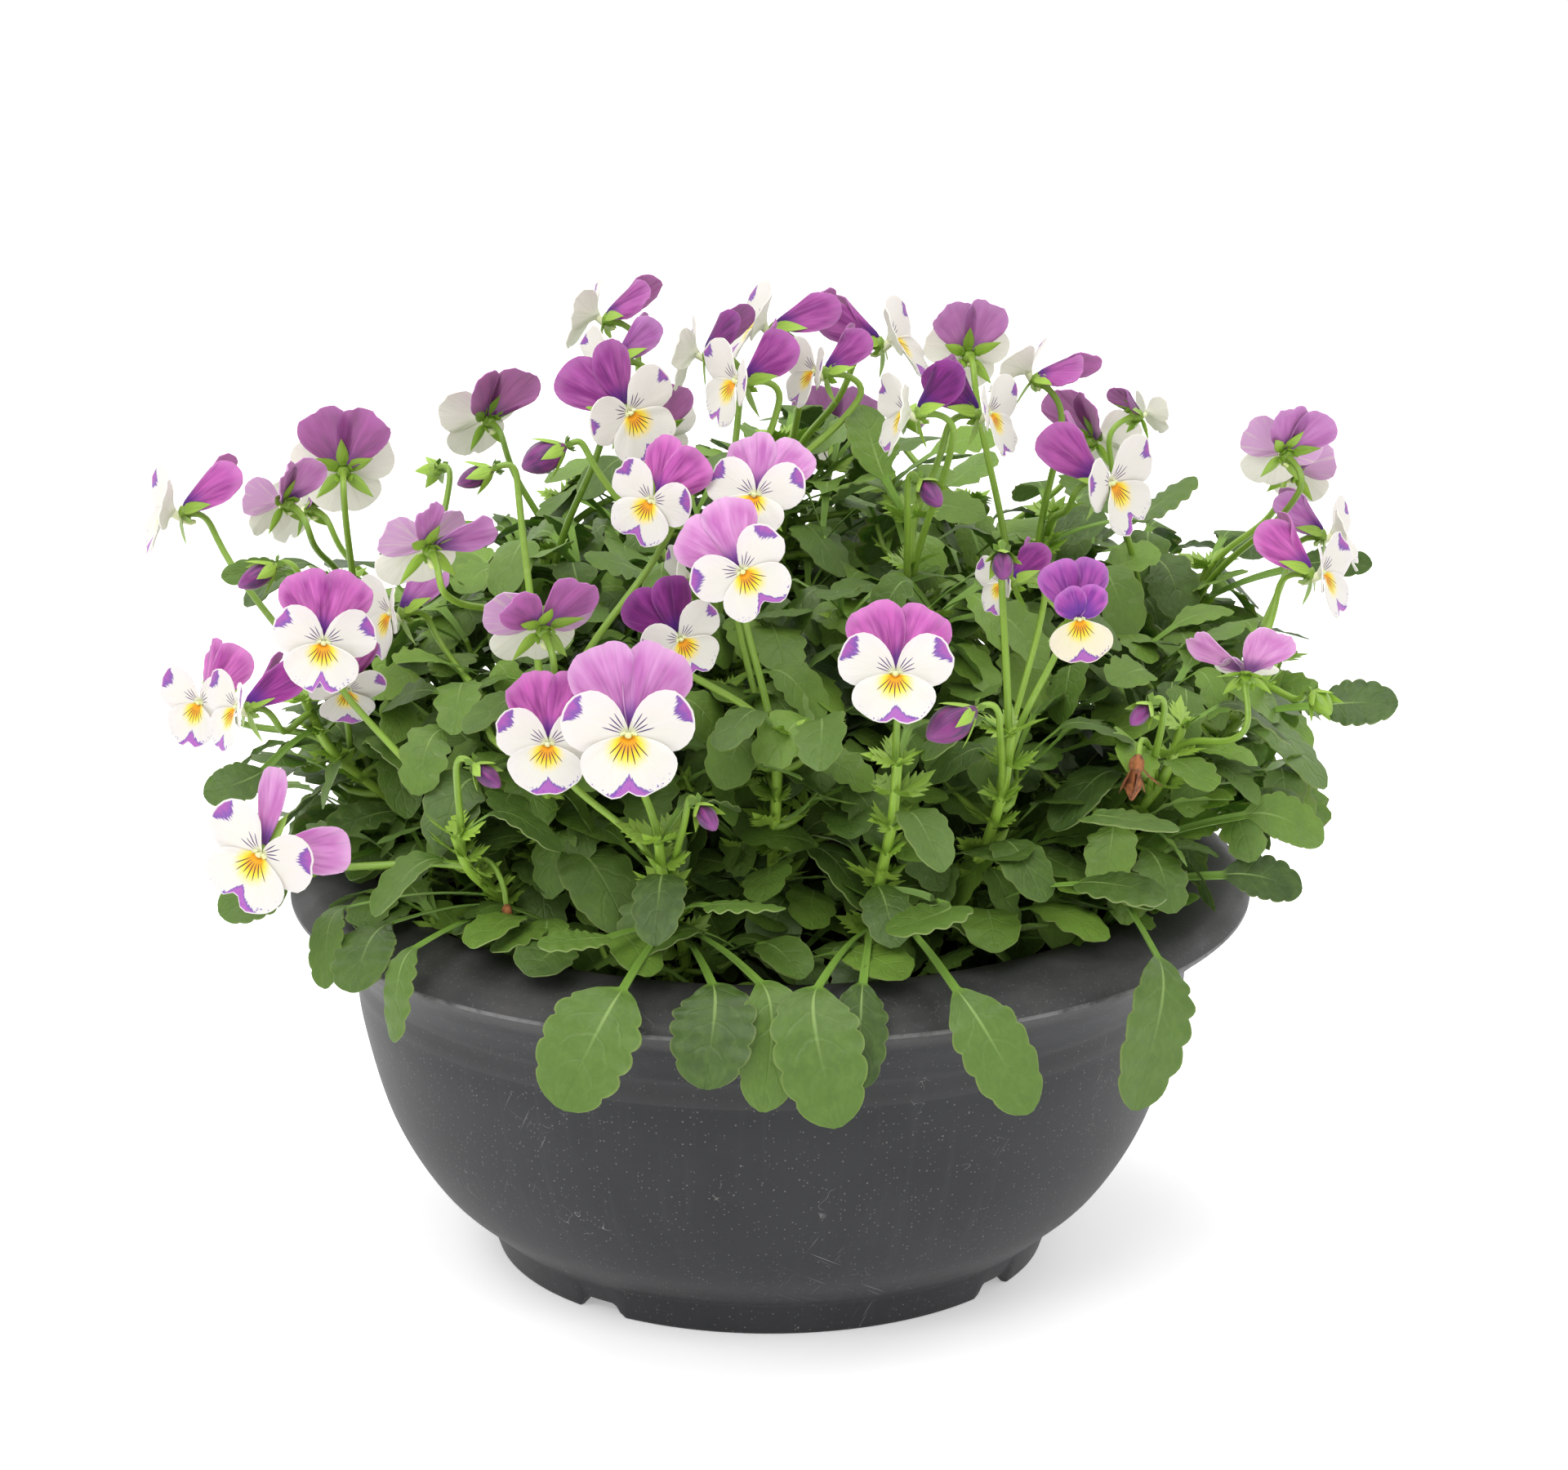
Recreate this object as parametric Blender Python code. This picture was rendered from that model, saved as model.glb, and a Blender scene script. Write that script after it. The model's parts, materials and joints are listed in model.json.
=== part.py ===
"""Potted horned pansy: a low round planter bowl, its soil, leafy stems and blooms.

Frame: metres, +Z up, origin on the ground under the middle of the bowl, front towards -Y.
Lengths below are in millimetres (the meshes are written in metres), angles in degrees.
"""
import bpy
import bmesh
import numpy as np
from mathutils.bvhtree import BVHTree

# ---------------------------------------------------------------- driving dimensions
METRES = 0.001
BOWL_SIDES = 36
WALL = 3.0                      # thickness of the moulded wall
FOOT_INNER = 74.5               # inside radius of the foot ring
FLOOR_UNDER = 9.5               # underside of the raised floor
FLOOR_TOP = 12.5
# outer wall of the bowl from the foot to the inner lip of its collar: (radius, height)
BOWL_WALL = [(78, 0), (81.5, 10), (83.5, 11.5), (97, 24), (108.5, 44), (115.6, 70), (117.5, 88),
             (125, 97), (135, 105.6), (134.4, 107.8), (128, 112), (119.5, 114.2), (111, 113.4)]
INNER_FOLLOWS = (11, 9, 7, 6, 5, 4, 3)     # points of the outer wall that the inner wall repeats
NOTCH_AZIMUTHS = [53, 143, 233, 323]
NOTCH_WIDTH, NOTCH_FLARE, NOTCH_HEIGHT = 16, 3, 4
DRAIN_RING, DRAIN_RADIUS, DRAIN_COUNT = 52, 4.5, 4

SOIL_TOP = 98
SOIL_GAP = 0.5                  # clear of the bowl's inner wall
SOIL_SIDES = 18
ROOT_DEPTH = 82.5               # height of the stems' lower ends
HOLE_BOTTOM, HOLE_RADIUS = 82, 2.9

STEM_RADIUS = (1.9, 1.3)        # at the soil, at the tip
STALK_RADIUS = (1.1, 1.0)       # flower stalks
STEM_SIDES, STALK_SIDES = 4, 3
BLADE = 0.7                     # thickness of leaves and petals
CLEAR = 0.35                    # least room between pieces of different nodes
GOLDEN = 137.5                  # turn from one leaf to the next round a stem
TRIES = 17                      # other places tried for a stalk, a bud or a leaf that would cross

# depths behind the throat of a bloom, whose own back is at 1.6
BLOOM_FRONT, BLOOM_BACK = 0.8, 1.6
CALYX_FRONT, CALYX_BACK, SEPAL_ROOT = 2.0, 5.0, 2.5
SEPAL_LENGTH = 9.5              # on a full-size bloom
STALK_END = 4.4

# petals of a full-size bloom: direction of the axis, length, how fast the reach falls off
# with the angle, and how squarely it does so
UPPER = dict(axis=64, length=24.5, fall=1.45, power=0.5)
SIDE = dict(axis=19, length=19, fall=1.35, power=0.75)
LIP = dict(axis=270, length=16, fall=0.8, power=0.5)
LIP_NOTCH = 0.74

# ---------------------------------------------------------------- the planting
# leafy stems: place in the soil, then the tip of the main stem and of its branch
STEMS = {
    "stem_front": ((0, -66), [(2, -92, 176), (-16, -46, 212)]),
    "stem_front_right": ((26, -84), [(33, -106, 172)]),
    "stem_front_left": ((-22, -84), [(-29, -110, 152)]),
    "stem_left_front": ((-62, -62), [(-83, -92, 148), (-58, -84, 176)]),
    "stem_right_front": ((80, -50), [(110, -64, 170), (138, -22, 176)]),
    "stem_middle_right": ((52, -66), [(63, -92, 176)]),
    "stem_left": ((-84, -12), [(-126, -40, 170), (-120, 18, 188)]),
    "stem_heart": ((34, -22), [(38, -36, 220), (78, -2, 212)]),
    "stem_heart_left": ((-46, 4), [(-62, -12, 204), (-34, 18, 218)]),
    "stem_right": ((80, 36), [(124, 34, 188), (112, 88, 162)]),
    "stem_back": ((0, 40), [(4, 44, 222), (8, 118, 172)]),
    "stem_back_left": ((-62, 64), [(-60, 86, 194), (-112, 80, 164)]),
    "stem_back_right": ((44, 72), [(58, 86, 194)]),
}

# blooms: stem, branch, place along it, throat, facing, pitch, roll, size, sweep, hue
BLOOMS = [
    ("stem_heart_left", 1, 0.80, (-48, 22, 263), 165, 15, 0, 0.75, 34, "purple"),
    ("stem_heart_left", 1, 0.92, (-44, -8, 257), 200, 8, 0, 0.66, 30, "orchid"),
    ("stem_heart_left", 0, 0.90, (-37, -50, 252), 305, 0, 25, 0.82, 20, "purple"),
    ("stem_front", 1, 0.82, (-20, -22, 262), 168, 5, 0, 0.70, 30, "dark"),
    ("stem_front", 1, 0.92, (-9, -48, 260), 205, 5, -10, 0.78, 28, "purple"),
    ("stem_back", 0, 0.80, (-2, -4, 266), 185, 24, 0, 0.85, 38, "purple"),
    ("stem_front", 1, 1.00, (12, -36, 260), 200, 10, 0, 0.68, 34, "purple"),
    ("stem_back", 0, 0.90, (33, 4, 260), 350, 20, 0, 0.85, 38, "purple"),
    ("stem_heart", 1, 0.72, (54, 14, 254), 100, 0, 0, 0.70, 18, "orchid"),
    ("stem_heart", 1, 0.86, (70, -8, 254), 155, 36, 0, 0.74, 30, "purple"),
    ("stem_heart", 0, 0.82, (36, -58, 254), 190, 5, 0, 0.76, 28, "dark"),
    ("stem_heart", 0, 0.95, (58, -42, 250), 340, 8, 0, 0.76, 30, "dark"),
    ("stem_heart", 1, 0.95, (91, -42, 231), 325, 2, 10, 0.90, 36, "purple"),
    ("stem_right", 0, 0.70, (104, 12, 238), 30, 10, 0, 0.45, 30, "dark"),
    ("stem_right", 0, 0.85, (141, 8, 228), 110, 10, 15, 0.74, 20, "orchid"),
    ("stem_right", 0, 0.95, (148, 38, 216), 62, 8, 0, 0.74, 20, "orchid"),
    ("stem_right_front", 1, 0.72, (157, 14, 203), 352, 10, 0, 0.74, 34, "orchid"),
    ("stem_right_front", 1, 0.84, (151, -14, 199), 340, 6, 0, 0.84, 36, "purple"),
    ("stem_right_front", 0, 0.90, (126, -70, 188), 82, 45, 0, 0.70, 14, "orchid"),
    ("stem_middle_right", 0, 0.88, (80, -95, 208), 283, -4, 0, 0.70, 16, "cream"),
    ("stem_middle_right", 0, 0.74, (61, -74, 212), 205, 0, 0, 0.55, 30, "dark"),
    ("stem_front_right", 0, 0.92, (32, -119, 200), 266, 26, 0, 0.87, 14, "purple"),
    ("stem_front", 1, 0.70, (-4, -84, 238), 250, 30, 0, 0.80, 12, "orchid"),
    ("stem_front", 0, 0.88, (-7, -108, 224), 275, 5, 35, 0.78, 12, "orchid"),
    ("stem_left_front", 1, 0.96, (-31, -82, 236), 240, 6, -20, 0.72, 16, "purple"),
    ("stem_front", 0, 0.98, (-23, -104, 205), 295, 0, 22, 0.68, 16, "dark"),
    ("stem_heart_left", 0, 0.80, (-91, -68, 221), 120, 20, 0, 0.95, 14, "orchid"),
    ("stem_left", 1, 0.82, (-118, 8, 223), 95, 0, 0, 0.84, 16, "purple"),
    ("stem_left", 1, 0.95, (-134, -14, 219), 138, 5, 0, 0.68, 18, "orchid"),
    ("stem_left", 0, 0.66, (-165, 0, 213), 190, 8, 0, 0.88, 38, "purple"),
    ("stem_left_front", 0, 0.70, (-117, -82, 198), 278, 5, -8, 0.80, 14, "purple"),
    ("stem_left_front", 1, 0.72, (-102, -42, 195), 205, 0, 0, 0.78, 30, "orchid"),
    ("stem_left", 0, 0.86, (-155, -38, 169), 228, 4, 0, 0.76, 26, "purple"),
    ("stem_left", 0, 0.95, (-141, -74, 178), 205, 6, 0, 0.76, 34, "dark"),
    ("stem_left", 0, 0.76, (-113, -60, 179), 282, -30, 0, 0.62, 20, "purple"),
    ("stem_left_front", 1, 0.86, (-60, -92, 206), 112, 24, 0, 0.95, 10, "purple"),
    ("stem_front_left", 0, 0.82, (-57, -118, 181), 262, 12, 0, 0.80, 12, "purple"),
    ("stem_front_left", 0, 0.95, (-36, -130, 187), 268, 12, 0, 1.00, 10, "orchid"),
    ("stem_front", 0, 0.76, (-22, -72, 214), 190, 0, 0, 0.56, 26, "dark"),
    ("stem_left_front", 0, 0.86, (-134, -98, 145), 248, 2, -24, 0.95, 12, "orchid"),
    ("stem_back_left", 0, 0.80, (-84, 92, 218), 128, 10, 0, 0.82, 18, "purple"),
    ("stem_back", 1, 0.85, (18, 122, 206), 88, 12, 10, 0.86, 14, "orchid"),
    ("stem_back_right", 0, 0.80, (96, 92, 212), 48, 8, 0, 0.80, 20, "purple"),
    ("stem_back_left", 0, 0.92, (-34, 116, 208), 104, 6, -12, 0.78, 16, "purple"),
    ("stem_back_left", 1, 0.88, (-136, 74, 196), 148, 8, 0, 0.76, 22, "orchid"),
]

# closed buds and green seed capsules: stem, branch, place along it, tip of the stalk, nod
BUDS = [
    ("stem_heart", 0, 0.75, (40, -62, 236), 300, 11), ("stem_middle_right", 0, 0.95, (60, -90, 224), 270, 11),
    ("stem_middle_right", 0, 0.82, (52, -118, 190), 200, 15), ("stem_front", 1, 0.76, (-52, -58, 244), 190, 13),
    ("stem_left_front", 1, 0.80, (-74, -52, 237), 170, 11), ("stem_left", 1, 0.88, (-134, -34, 206), 200, 12),
    ("stem_front_left", 0, 0.74, (-18, -124, 166), 300, 10), ("stem_left_front", 0, 0.92, (-76, -108, 172), 320, 10),
    ("stem_right_front", 0, 0.76, (98, -100, 186), 230, 9), ("stem_right_front", 1, 0.92, (146, -54, 176), 300, 12),
    ("stem_back_right", 0, 0.92, (40, 112, 214), 60, 12), ("stem_back_left", 1, 0.80, (-98, 104, 200), 120, 11),
]

# leaves with a place of their own: stem, branch, place along it, foot of the blade, tip, breadth
LEAVES = [
    ("stem_front_left", 0, 0.60, (-38, -131, 119), (-54, -144, 91), 26),
    ("stem_front_left", 0, 0.52, (-15, -127, 119), (-17, -143, 96), 23),
    ("stem_front_left", 0, 0.56, (-3, -128, 120), (-2, -141, 89), 18),
    ("stem_front_right", 0, 0.42, (11, -127, 118), (15, -145, 86), 24),
    ("stem_front_right", 0, 0.46, (24, -126, 119), (23, -141, 95), 15),
    ("stem_front_right", 0, 0.52, (48, -128, 118), (67, -142, 89), 20),
    ("stem_right_front", 0, 0.48, (102, -99, 117), (96, -113, 79), 22),
    ("stem_left_front", 0, 0.58, (-100, -86, 122), (-110, -102, 108), 20),
    ("stem_left_front", 0, 0.64, (-112, -78, 124), (-118, -93, 106), 12),
    ("stem_left_front", 0, 0.54, (-93, -100, 120), (-99, -110, 97), 12),
    ("stem_front_right", 0, 0.56, (46, -120, 138), (30, -130, 134), 20),
    ("stem_front_left", 0, 0.62, (-16, -120, 138), (4, -128, 140), 15),
    ("stem_front_left", 0, 0.52, (-42, -122, 130), (-60, -128, 130), 14),
    ("stem_right_front", 1, 0.80, (148, -38, 168), (170, -42, 170), 14),
    ("stem_right_front", 0, 0.50, (128, -54, 142), (150, -52, 134), 14),
    ("stem_right_front", 0, 0.36, (122, -60, 127), (144, -58, 122), 13),
    ("stem_right", 0, 0.90, (148, 34, 188), (170, 30, 190), 9),
    ("stem_right_front", 0, 0.60, (84, -100, 156), (106, -112, 156), 18),
    ("stem_middle_right", 0, 0.36, (80, -108, 140), (103, -116, 139), 20),
    ("stem_left", 0, 0.92, (-136, -58, 156), (-152, -62, 150), 12),
    ("stem_left", 0, 0.40, (-130, -66, 126), (-148, -72, 120), 13),
    ("stem_left", 1, 0.94, (-133, -10, 198), (-150, -18, 199), 8),
    ("stem_heart", 0, 0.97, (28, -38, 230), (20, -28, 247), 16),
    ("stem_heart", 1, 0.92, (98, -14, 214), (116, -10, 225), 15),
    ("stem_back", 1, 0.92, (12, 130, 168), (15, 151, 165), 15),
]
LEAVES_BY_RULE = (4, 3)         # further leaves set round each main stem and each branch
STATIONS_LARGE = (0.15, 0.34, 0.53, 0.72, 0.9)
STATIONS = (0.24, 0.54, 0.84)
STALK_SHARE = 0.34              # share of a small leaf's length that is its stalk


# ---------------------------------------------------------------- small helpers
def vec(*values):
    return np.array(values, dtype=float)


def unit(v):
    return v / np.linalg.norm(v)


def turned(azimuth, pitch=0.0):
    """Unit direction from an azimuth round +Z and a pitch above the level."""
    a, p = np.radians(azimuth), np.radians(pitch)
    return vec(np.cos(p) * np.cos(a), np.cos(p) * np.sin(a), np.sin(p))


def bezier(p0, p1, p2, p3, count):
    t = np.linspace(0, 1, count)[:, None]
    return (1 - t) ** 3 * p0 + 3 * t * (1 - t) ** 2 * p1 + 3 * t ** 2 * (1 - t) * p2 + t ** 3 * p3


def along(path, share):
    """Point at a share of the path's length."""
    steps = np.linalg.norm(np.diff(path, axis=0), axis=1)
    run = np.concatenate([[0], np.cumsum(steps)])
    return np.array([np.interp(share * run[-1], run, path[:, k]) for k in range(3)])


def tangents(path):
    return np.array([unit(v) for v in np.gradient(path, axis=0)])


# ---------------------------------------------------------------- closed shapes: (points, faces)
def tube(path, radii, sides):
    """Round bar along a path, its ends closed by flat caps."""
    path = np.asarray(path, dtype=float)
    heading = tangents(path)
    side = unit(np.cross(heading[0], vec(0.31, 0.95, 0.05)))
    angles = 2 * np.pi * np.arange(sides) / sides
    rings = []
    for point, t, radius in zip(path, heading, radii):
        side = unit(side - t * (side @ t))
        other = np.cross(t, side)
        rings.append(point + radius * (np.cos(angles)[:, None] * side + np.sin(angles)[:, None] * other))
    count = len(path)
    faces = [tuple(reversed(range(sides)))]
    for i in range(count - 1):
        a, b = i * sides, (i + 1) * sides
        faces += [(a + k, a + (k + 1) % sides, b + (k + 1) % sides, b + k) for k in range(sides)]
    faces.append(tuple(range((count - 1) * sides, count * sides)))
    return np.concatenate(rings), faces


def blade(midrib, sides, halves, grow=0.0):
    """Thin leaf: a ladder of cross pieces up to a pointed tip, split alike on both faces."""
    up = np.array([unit(np.cross(s, t)) for s, t in zip(sides, tangents(midrib))])
    halves = np.asarray(halves)[:, None] + grow
    left = midrib[:-1] - sides[:-1] * halves
    right = midrib[:-1] + sides[:-1] * halves
    tip = midrib[-1:] + tangents(midrib)[-1] * grow
    rim = np.concatenate([left, tip, right[::-1]])
    lift = np.concatenate([up[:-1], up[-1:], up[:-1][::-1]]) * (BLADE / 2 + grow)
    n = len(rim)
    last = n - 1
    flat = []
    for i in range(len(left) - 1):
        flat += [(i, last - i, i + 1), (i + 1, last - i, last - i - 1)]
    flat.append((len(left) - 1, len(left) + 1, len(left)))
    faces = flat + [tuple(n + k for k in reversed(f)) for f in flat]
    faces += [(k, (k + 1) % n, n + (k + 1) % n, n + k) for k in range(n)]
    return np.concatenate([rim + lift, rim - lift]), faces


def star(rim, front, back, thick):
    """Lobed plate: an outline closed by a fan from a front and a back middle point."""
    n = len(rim)
    shift = unit(front - back) * thick
    points = np.concatenate([rim, rim - shift, [front], [back]])
    faces = [(2 * n, k, (k + 1) % n) for k in range(n)]
    faces += [(2 * n + 1, n + (k + 1) % n, n + k) for k in range(n)]
    for k in range(n):
        m = (k + 1) % n
        faces += [(k, n + k, m), (m, n + k, n + m)]
    return points, faces


# ---------------------------------------------------------------- leaves
def leaf_outline(length, breadth, stations):
    """Half breadths of the blade: a rounded oval whose edge steps in and out as blunt teeth."""
    q = np.array(stations)
    oval = np.sin(np.pi * q ** 1.1) ** 0.6
    teeth = np.where(np.arange(len(q)) % 2 == 0, 1.0, 0.86)
    return breadth / 2 * oval * teeth


def leaf(root, foot, tip, breadth, grow=0.0, large=False, roll=0.0):
    """A leaf from inside its stem: a narrow stalk to the foot, then the toothed, arching blade."""
    stations = STATIONS_LARGE if large else STATIONS
    run = tip - foot
    length = np.linalg.norm(run)
    out = unit(foot - root)
    bow = foot + out * length * 0.45
    bow[2] += 0.06 * length
    blade_line = bezier(foot, foot + out * length * 0.3, bow * 0.35 + (tip - run * 0.3) * 0.65, tip, 11)
    share = np.linspace(0, 1, 11)
    spots = np.array([[np.interp(s, share, blade_line[:, k]) for k in range(3)]
                      for s in list(stations) + [1.0]])
    midrib = np.concatenate([[root], [foot], spots])
    side = np.cross(run, vec(0, 0, 1))
    if np.linalg.norm(side) < 1e-6:
        side = vec(1, 0, 0)
    side = unit(side)
    across = []
    for t in tangents(midrib):
        s = unit(side - t * (side @ t))
        a = np.radians(roll)
        across.append(np.cos(a) * s + np.sin(a) * np.cross(t, s))
    halves = np.concatenate([[0.9, 1.1], leaf_outline(length, breadth, stations)])
    return blade(midrib, np.array(across), halves, grow)


# ---------------------------------------------------------------- blooms
def bloom_axes(facing, pitch, roll):
    """Right, up and forward of a bloom."""
    forward = turned(facing, pitch)
    right = unit(np.cross(vec(0, 0, 1), forward))
    up = np.cross(forward, right)
    r = np.radians(roll)
    return np.array([np.cos(r) * right + np.sin(r) * up, -np.sin(r) * right + np.cos(r) * up, forward])


def petal_rim(petal, axis, angles, lean, layer, size):
    """Edge of a fan petal: reach falls off as a power of the cosine, and the petal leans."""
    off = np.radians(np.asarray(angles) - axis) * petal["fall"]
    reach = size * petal["length"] * np.cos(off) ** petal["power"]
    a, tilt = np.radians(angles), np.radians(lean)
    flat = reach * np.cos(tilt)
    return np.stack([flat * np.cos(a), flat * np.sin(a), layer + reach * np.sin(tilt)], axis=1)


def bloom(place, axes, size, sweep):
    """Five petals in layers: two upper ones behind, two side ones, the broad lip in front."""
    lip = petal_rim(LIP, LIP["axis"], (208, 240, 270, 300, 332), 10 + sweep * 0.4, 0.6, size)
    lip[2, :2] *= LIP_NOTCH
    parts = [
        petal_rim(SIDE, SIDE["axis"], (-24, 0, 24, 49), 4, 0.2, size),
        petal_rim(UPPER, UPPER["axis"], (51, 68, 86), -sweep, -1.4, size),
        petal_rim(UPPER, 180 - UPPER["axis"], (94, 112, 129), -sweep, -1.8, size),
        petal_rim(SIDE, 180 - SIDE["axis"], (131, 156, 180, 204), 4, 0.2, size),
        lip,
    ]
    rim = np.concatenate(parts)
    points, faces = star(rim, vec(0, 0, BLOOM_FRONT), vec(0, 0, -BLOOM_BACK), BLADE)
    return place + points @ axes, faces


def calyx_rim(size, sweep, extra):
    """Edge of the five pointed sepals, which lean back at least as far as the petals do."""
    directions = np.array([90, 146, 226, 314, 34])
    leans = np.radians(np.array([sweep, sweep, 0, 0, sweep]) + extra)
    reach = SEPAL_LENGTH * size ** 0.5
    following = np.roll(directions, -1)
    between = np.radians(directions + ((following - directions) % 360) / 2)
    a = np.radians(directions)
    tips = np.stack([reach * np.cos(leans) * np.cos(a), reach * np.cos(leans) * np.sin(a),
                     -SEPAL_ROOT - reach * np.sin(leans)], axis=1)
    slope = np.tan((leans + np.roll(leans, -1)) / 2)
    dips = np.stack([2 * np.cos(between), 2 * np.sin(between), -SEPAL_ROOT - 1.6 * slope], axis=1)
    return np.stack([tips, dips], axis=1).reshape(-1, 3)


def stalk_with_calyx(path, radii, place, axes, rim):
    """A flower stalk whose last ring opens straight into the back of the calyx."""
    points, faces = tube(path, radii, STALK_SIDES)
    faces.pop()
    first = len(points)
    ring = (points[-STALK_SIDES:] - place) @ axes.T
    ring_angles = np.arctan2(ring[:, 1], ring[:, 0])
    rim_angles = np.arctan2(rim[:, 1], rim[:, 0])
    gaps = (ring_angles[None, :] - rim_angles[:, None] + np.pi) % (2 * np.pi) - np.pi
    nearest = first - STALK_SIDES + np.abs(gaps).argmin(axis=1)
    n = len(rim)
    for k in range(n):
        m = (k + 1) % n
        faces.append((first + n, first + k, first + m))
        faces.append((first + k, nearest[k], first + m))
        if nearest[k] != nearest[m]:
            faces.append((first + m, nearest[k], nearest[m]))
    middle = place + vec(0, 0, -CALYX_FRONT) @ axes
    return np.concatenate([points, place + rim @ axes, [middle]]), faces


def stalk_path(root, back, forward, bulge):
    """Flower stalk: out of the stem, up, and over in a small hook to the back of the bloom."""
    rise = back[2] - root[2]
    knee = back - forward * 6.5 + vec(0, 0, 0.5)
    below = knee - forward * 1.5 - vec(0, 0, 7)
    start = root + vec(0, 0, 0.45 * rise) + bulge
    stretch = bezier(root, start, below - vec(0, 0, 0.25 * rise), below, 4)
    return np.concatenate([stretch, [knee], [back]])


def bud(tip, heading, length, grow=0.0):
    """Closed bud or seed capsule: a pointed oval on a bent stalk end."""
    share = np.array([0, 0.25, 0.62, 1.0])
    width = np.array([0.35, 0.95, 0.95, 0.12]) * length * 0.25 + grow
    return tube(tip + np.outer(share, heading) * length, width, 4)


# ---------------------------------------------------------------- growing the plant
class Planting:
    """Pieces by node. A new piece is tested, slightly swollen, against all other nodes."""

    def __init__(self):
        self.pieces = {}
        self.trees = []

    def add(self, node, shape):
        self.pieces.setdefault(node, []).append(shape)
        self.trees.append((node, shape[0].min(0), shape[0].max(0), BVHTree.FromPolygons(shape[0], shape[1])))

    def hits(self, shape, ignore=()):
        low, high = shape[0].min(0), shape[0].max(0)
        tree = None
        found = set()
        for index, (node, a, b, other) in enumerate(self.trees):
            if node in ignore or index in ignore or (low > b).any() or (high < a).any():
                continue
            tree = tree or BVHTree.FromPolygons(shape[0], shape[1])
            if tree.overlap(other):
                found.add(node)
        return found


def stem_paths(root, tips):
    """Main stem straight out of its hole, then leaning to its tip; a branch leaves it low down."""
    base = vec(*root, ROOT_DEPTH)
    collar = vec(*root, SOIL_TOP + 4)
    paths = []
    for index, tip in enumerate(tips):
        start = collar if index == 0 else along(paths[0], 0.3)
        end = vec(*tip)
        rise = end[2] - start[2]
        bend = bezier(start, start + vec(0, 0, 0.4 * rise), end - vec(0, 0, 0.3 * rise), end, 5)
        paths.append(np.concatenate([[base], bend]) if index == 0 else bend)
    return paths


def swollen_tube(path, radii, sides):
    return tube(path, np.asarray(radii) + CLEAR, sides)


def grow_plant():
    plant = Planting()
    soil_shape = revolve(soil_profile(), SOIL_SIDES)
    bowl_shape = revolve(bowl_profile(), BOWL_SIDES)
    plant.add("bowl", bowl_shape)
    plant.add("soil", soil_shape)
    paths, report = {}, []
    for node, (root, tips) in STEMS.items():
        paths[node] = stem_paths(root, tips)
        for path in paths[node]:
            radii = np.linspace(*STEM_RADIUS, len(path))
            shape = tube(path, radii, STEM_SIDES)
            bad = plant.hits(swollen_tube(path, radii, STEM_SIDES), (node, "soil"))
            if bad:
                report.append((node, "stem", bad))
            plant.add(node, shape)
    for number, (node, branch, place, throat, facing, pitch, roll, size, sweep, hue) in enumerate(BLOOMS, 1):
        name = f"bloom_{number:02d}_{hue}"
        axes = bloom_axes(facing, pitch, roll)
        shape = bloom(vec(*throat), axes, size, sweep)
        bad = plant.hits(shape)
        if bad:
            report.append((name, "bloom", bad))
        plant.add(name, shape)
    for number, (node, branch, place, throat, facing, pitch, roll, size, sweep, hue) in enumerate(BLOOMS, 1):
        name = f"bloom_{number:02d}_{hue}"
        axes = bloom_axes(facing, pitch, roll)
        place_of_throat = vec(*throat)
        for extra in (8, 14, 20, 28, 36):
            rim = calyx_rim(size, sweep, extra)
            points, faces = star(rim, vec(0, 0, -CALYX_FRONT), vec(0, 0, -CALYX_BACK), BLADE)
            bad = plant.hits((place_of_throat + points @ axes, faces))
            if not bad:
                break
        if bad:
            report.append((name, "calyx", bad))
        root = along(paths[node][branch], place)
        back = vec(*throat) - axes[2] * STALK_END
        for step in range(TRIES):
            swing = 0 if step == 0 else 6 + 3 * (step // 8)
            bulge = turned(step * GOLDEN) * swing
            path = stalk_path(root, back, axes[2], bulge)
            radii = np.linspace(*STALK_RADIUS, len(path))
            bad = plant.hits(swollen_tube(path, radii, STALK_SIDES), (node,))
            if not bad:
                break
        if bad:
            report.append((name, "stalk", bad))
        plant.add(node, stalk_with_calyx(path, radii, place_of_throat, axes, rim))
    return plant, paths, report


def grow_buds(plant, paths, report):
    for node, branch, place, tip, nod, length in BUDS:
        root = along(paths[node][branch], place)
        heading = turned(nod, -25)
        for step in range(TRIES):
            shift = vec(0, 0, 0) if step == 0 else turned(step * GOLDEN) * (3 + step * 0.6)
            path = stalk_path(root, vec(*tip) + shift, heading, vec(0, 0, 0))
            radii = np.linspace(*STALK_RADIUS, len(path))
            start = path[-1] - heading * 1.0
            bad = plant.hits(swollen_tube(path, radii, STALK_SIDES), (node,))
            bad |= plant.hits(bud(start, heading, length, CLEAR), (node,))
            if not bad:
                break
        if bad:
            report.append((node, "bud", bad))
            continue
        plant.add(node, tube(path, radii, STALK_SIDES))
        plant.add(node, bud(start, heading, length))


def set_leaf(plant, node, options):
    """Adds the first of the leaf's options that is clear of every other node."""
    for large, args in options:
        shape = leaf(*args, grow=CLEAR, large=large)
        if not plant.hits(shape, (node,)):
            plant.add(node, leaf(*args, large=large))
            return True
    return False


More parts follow.
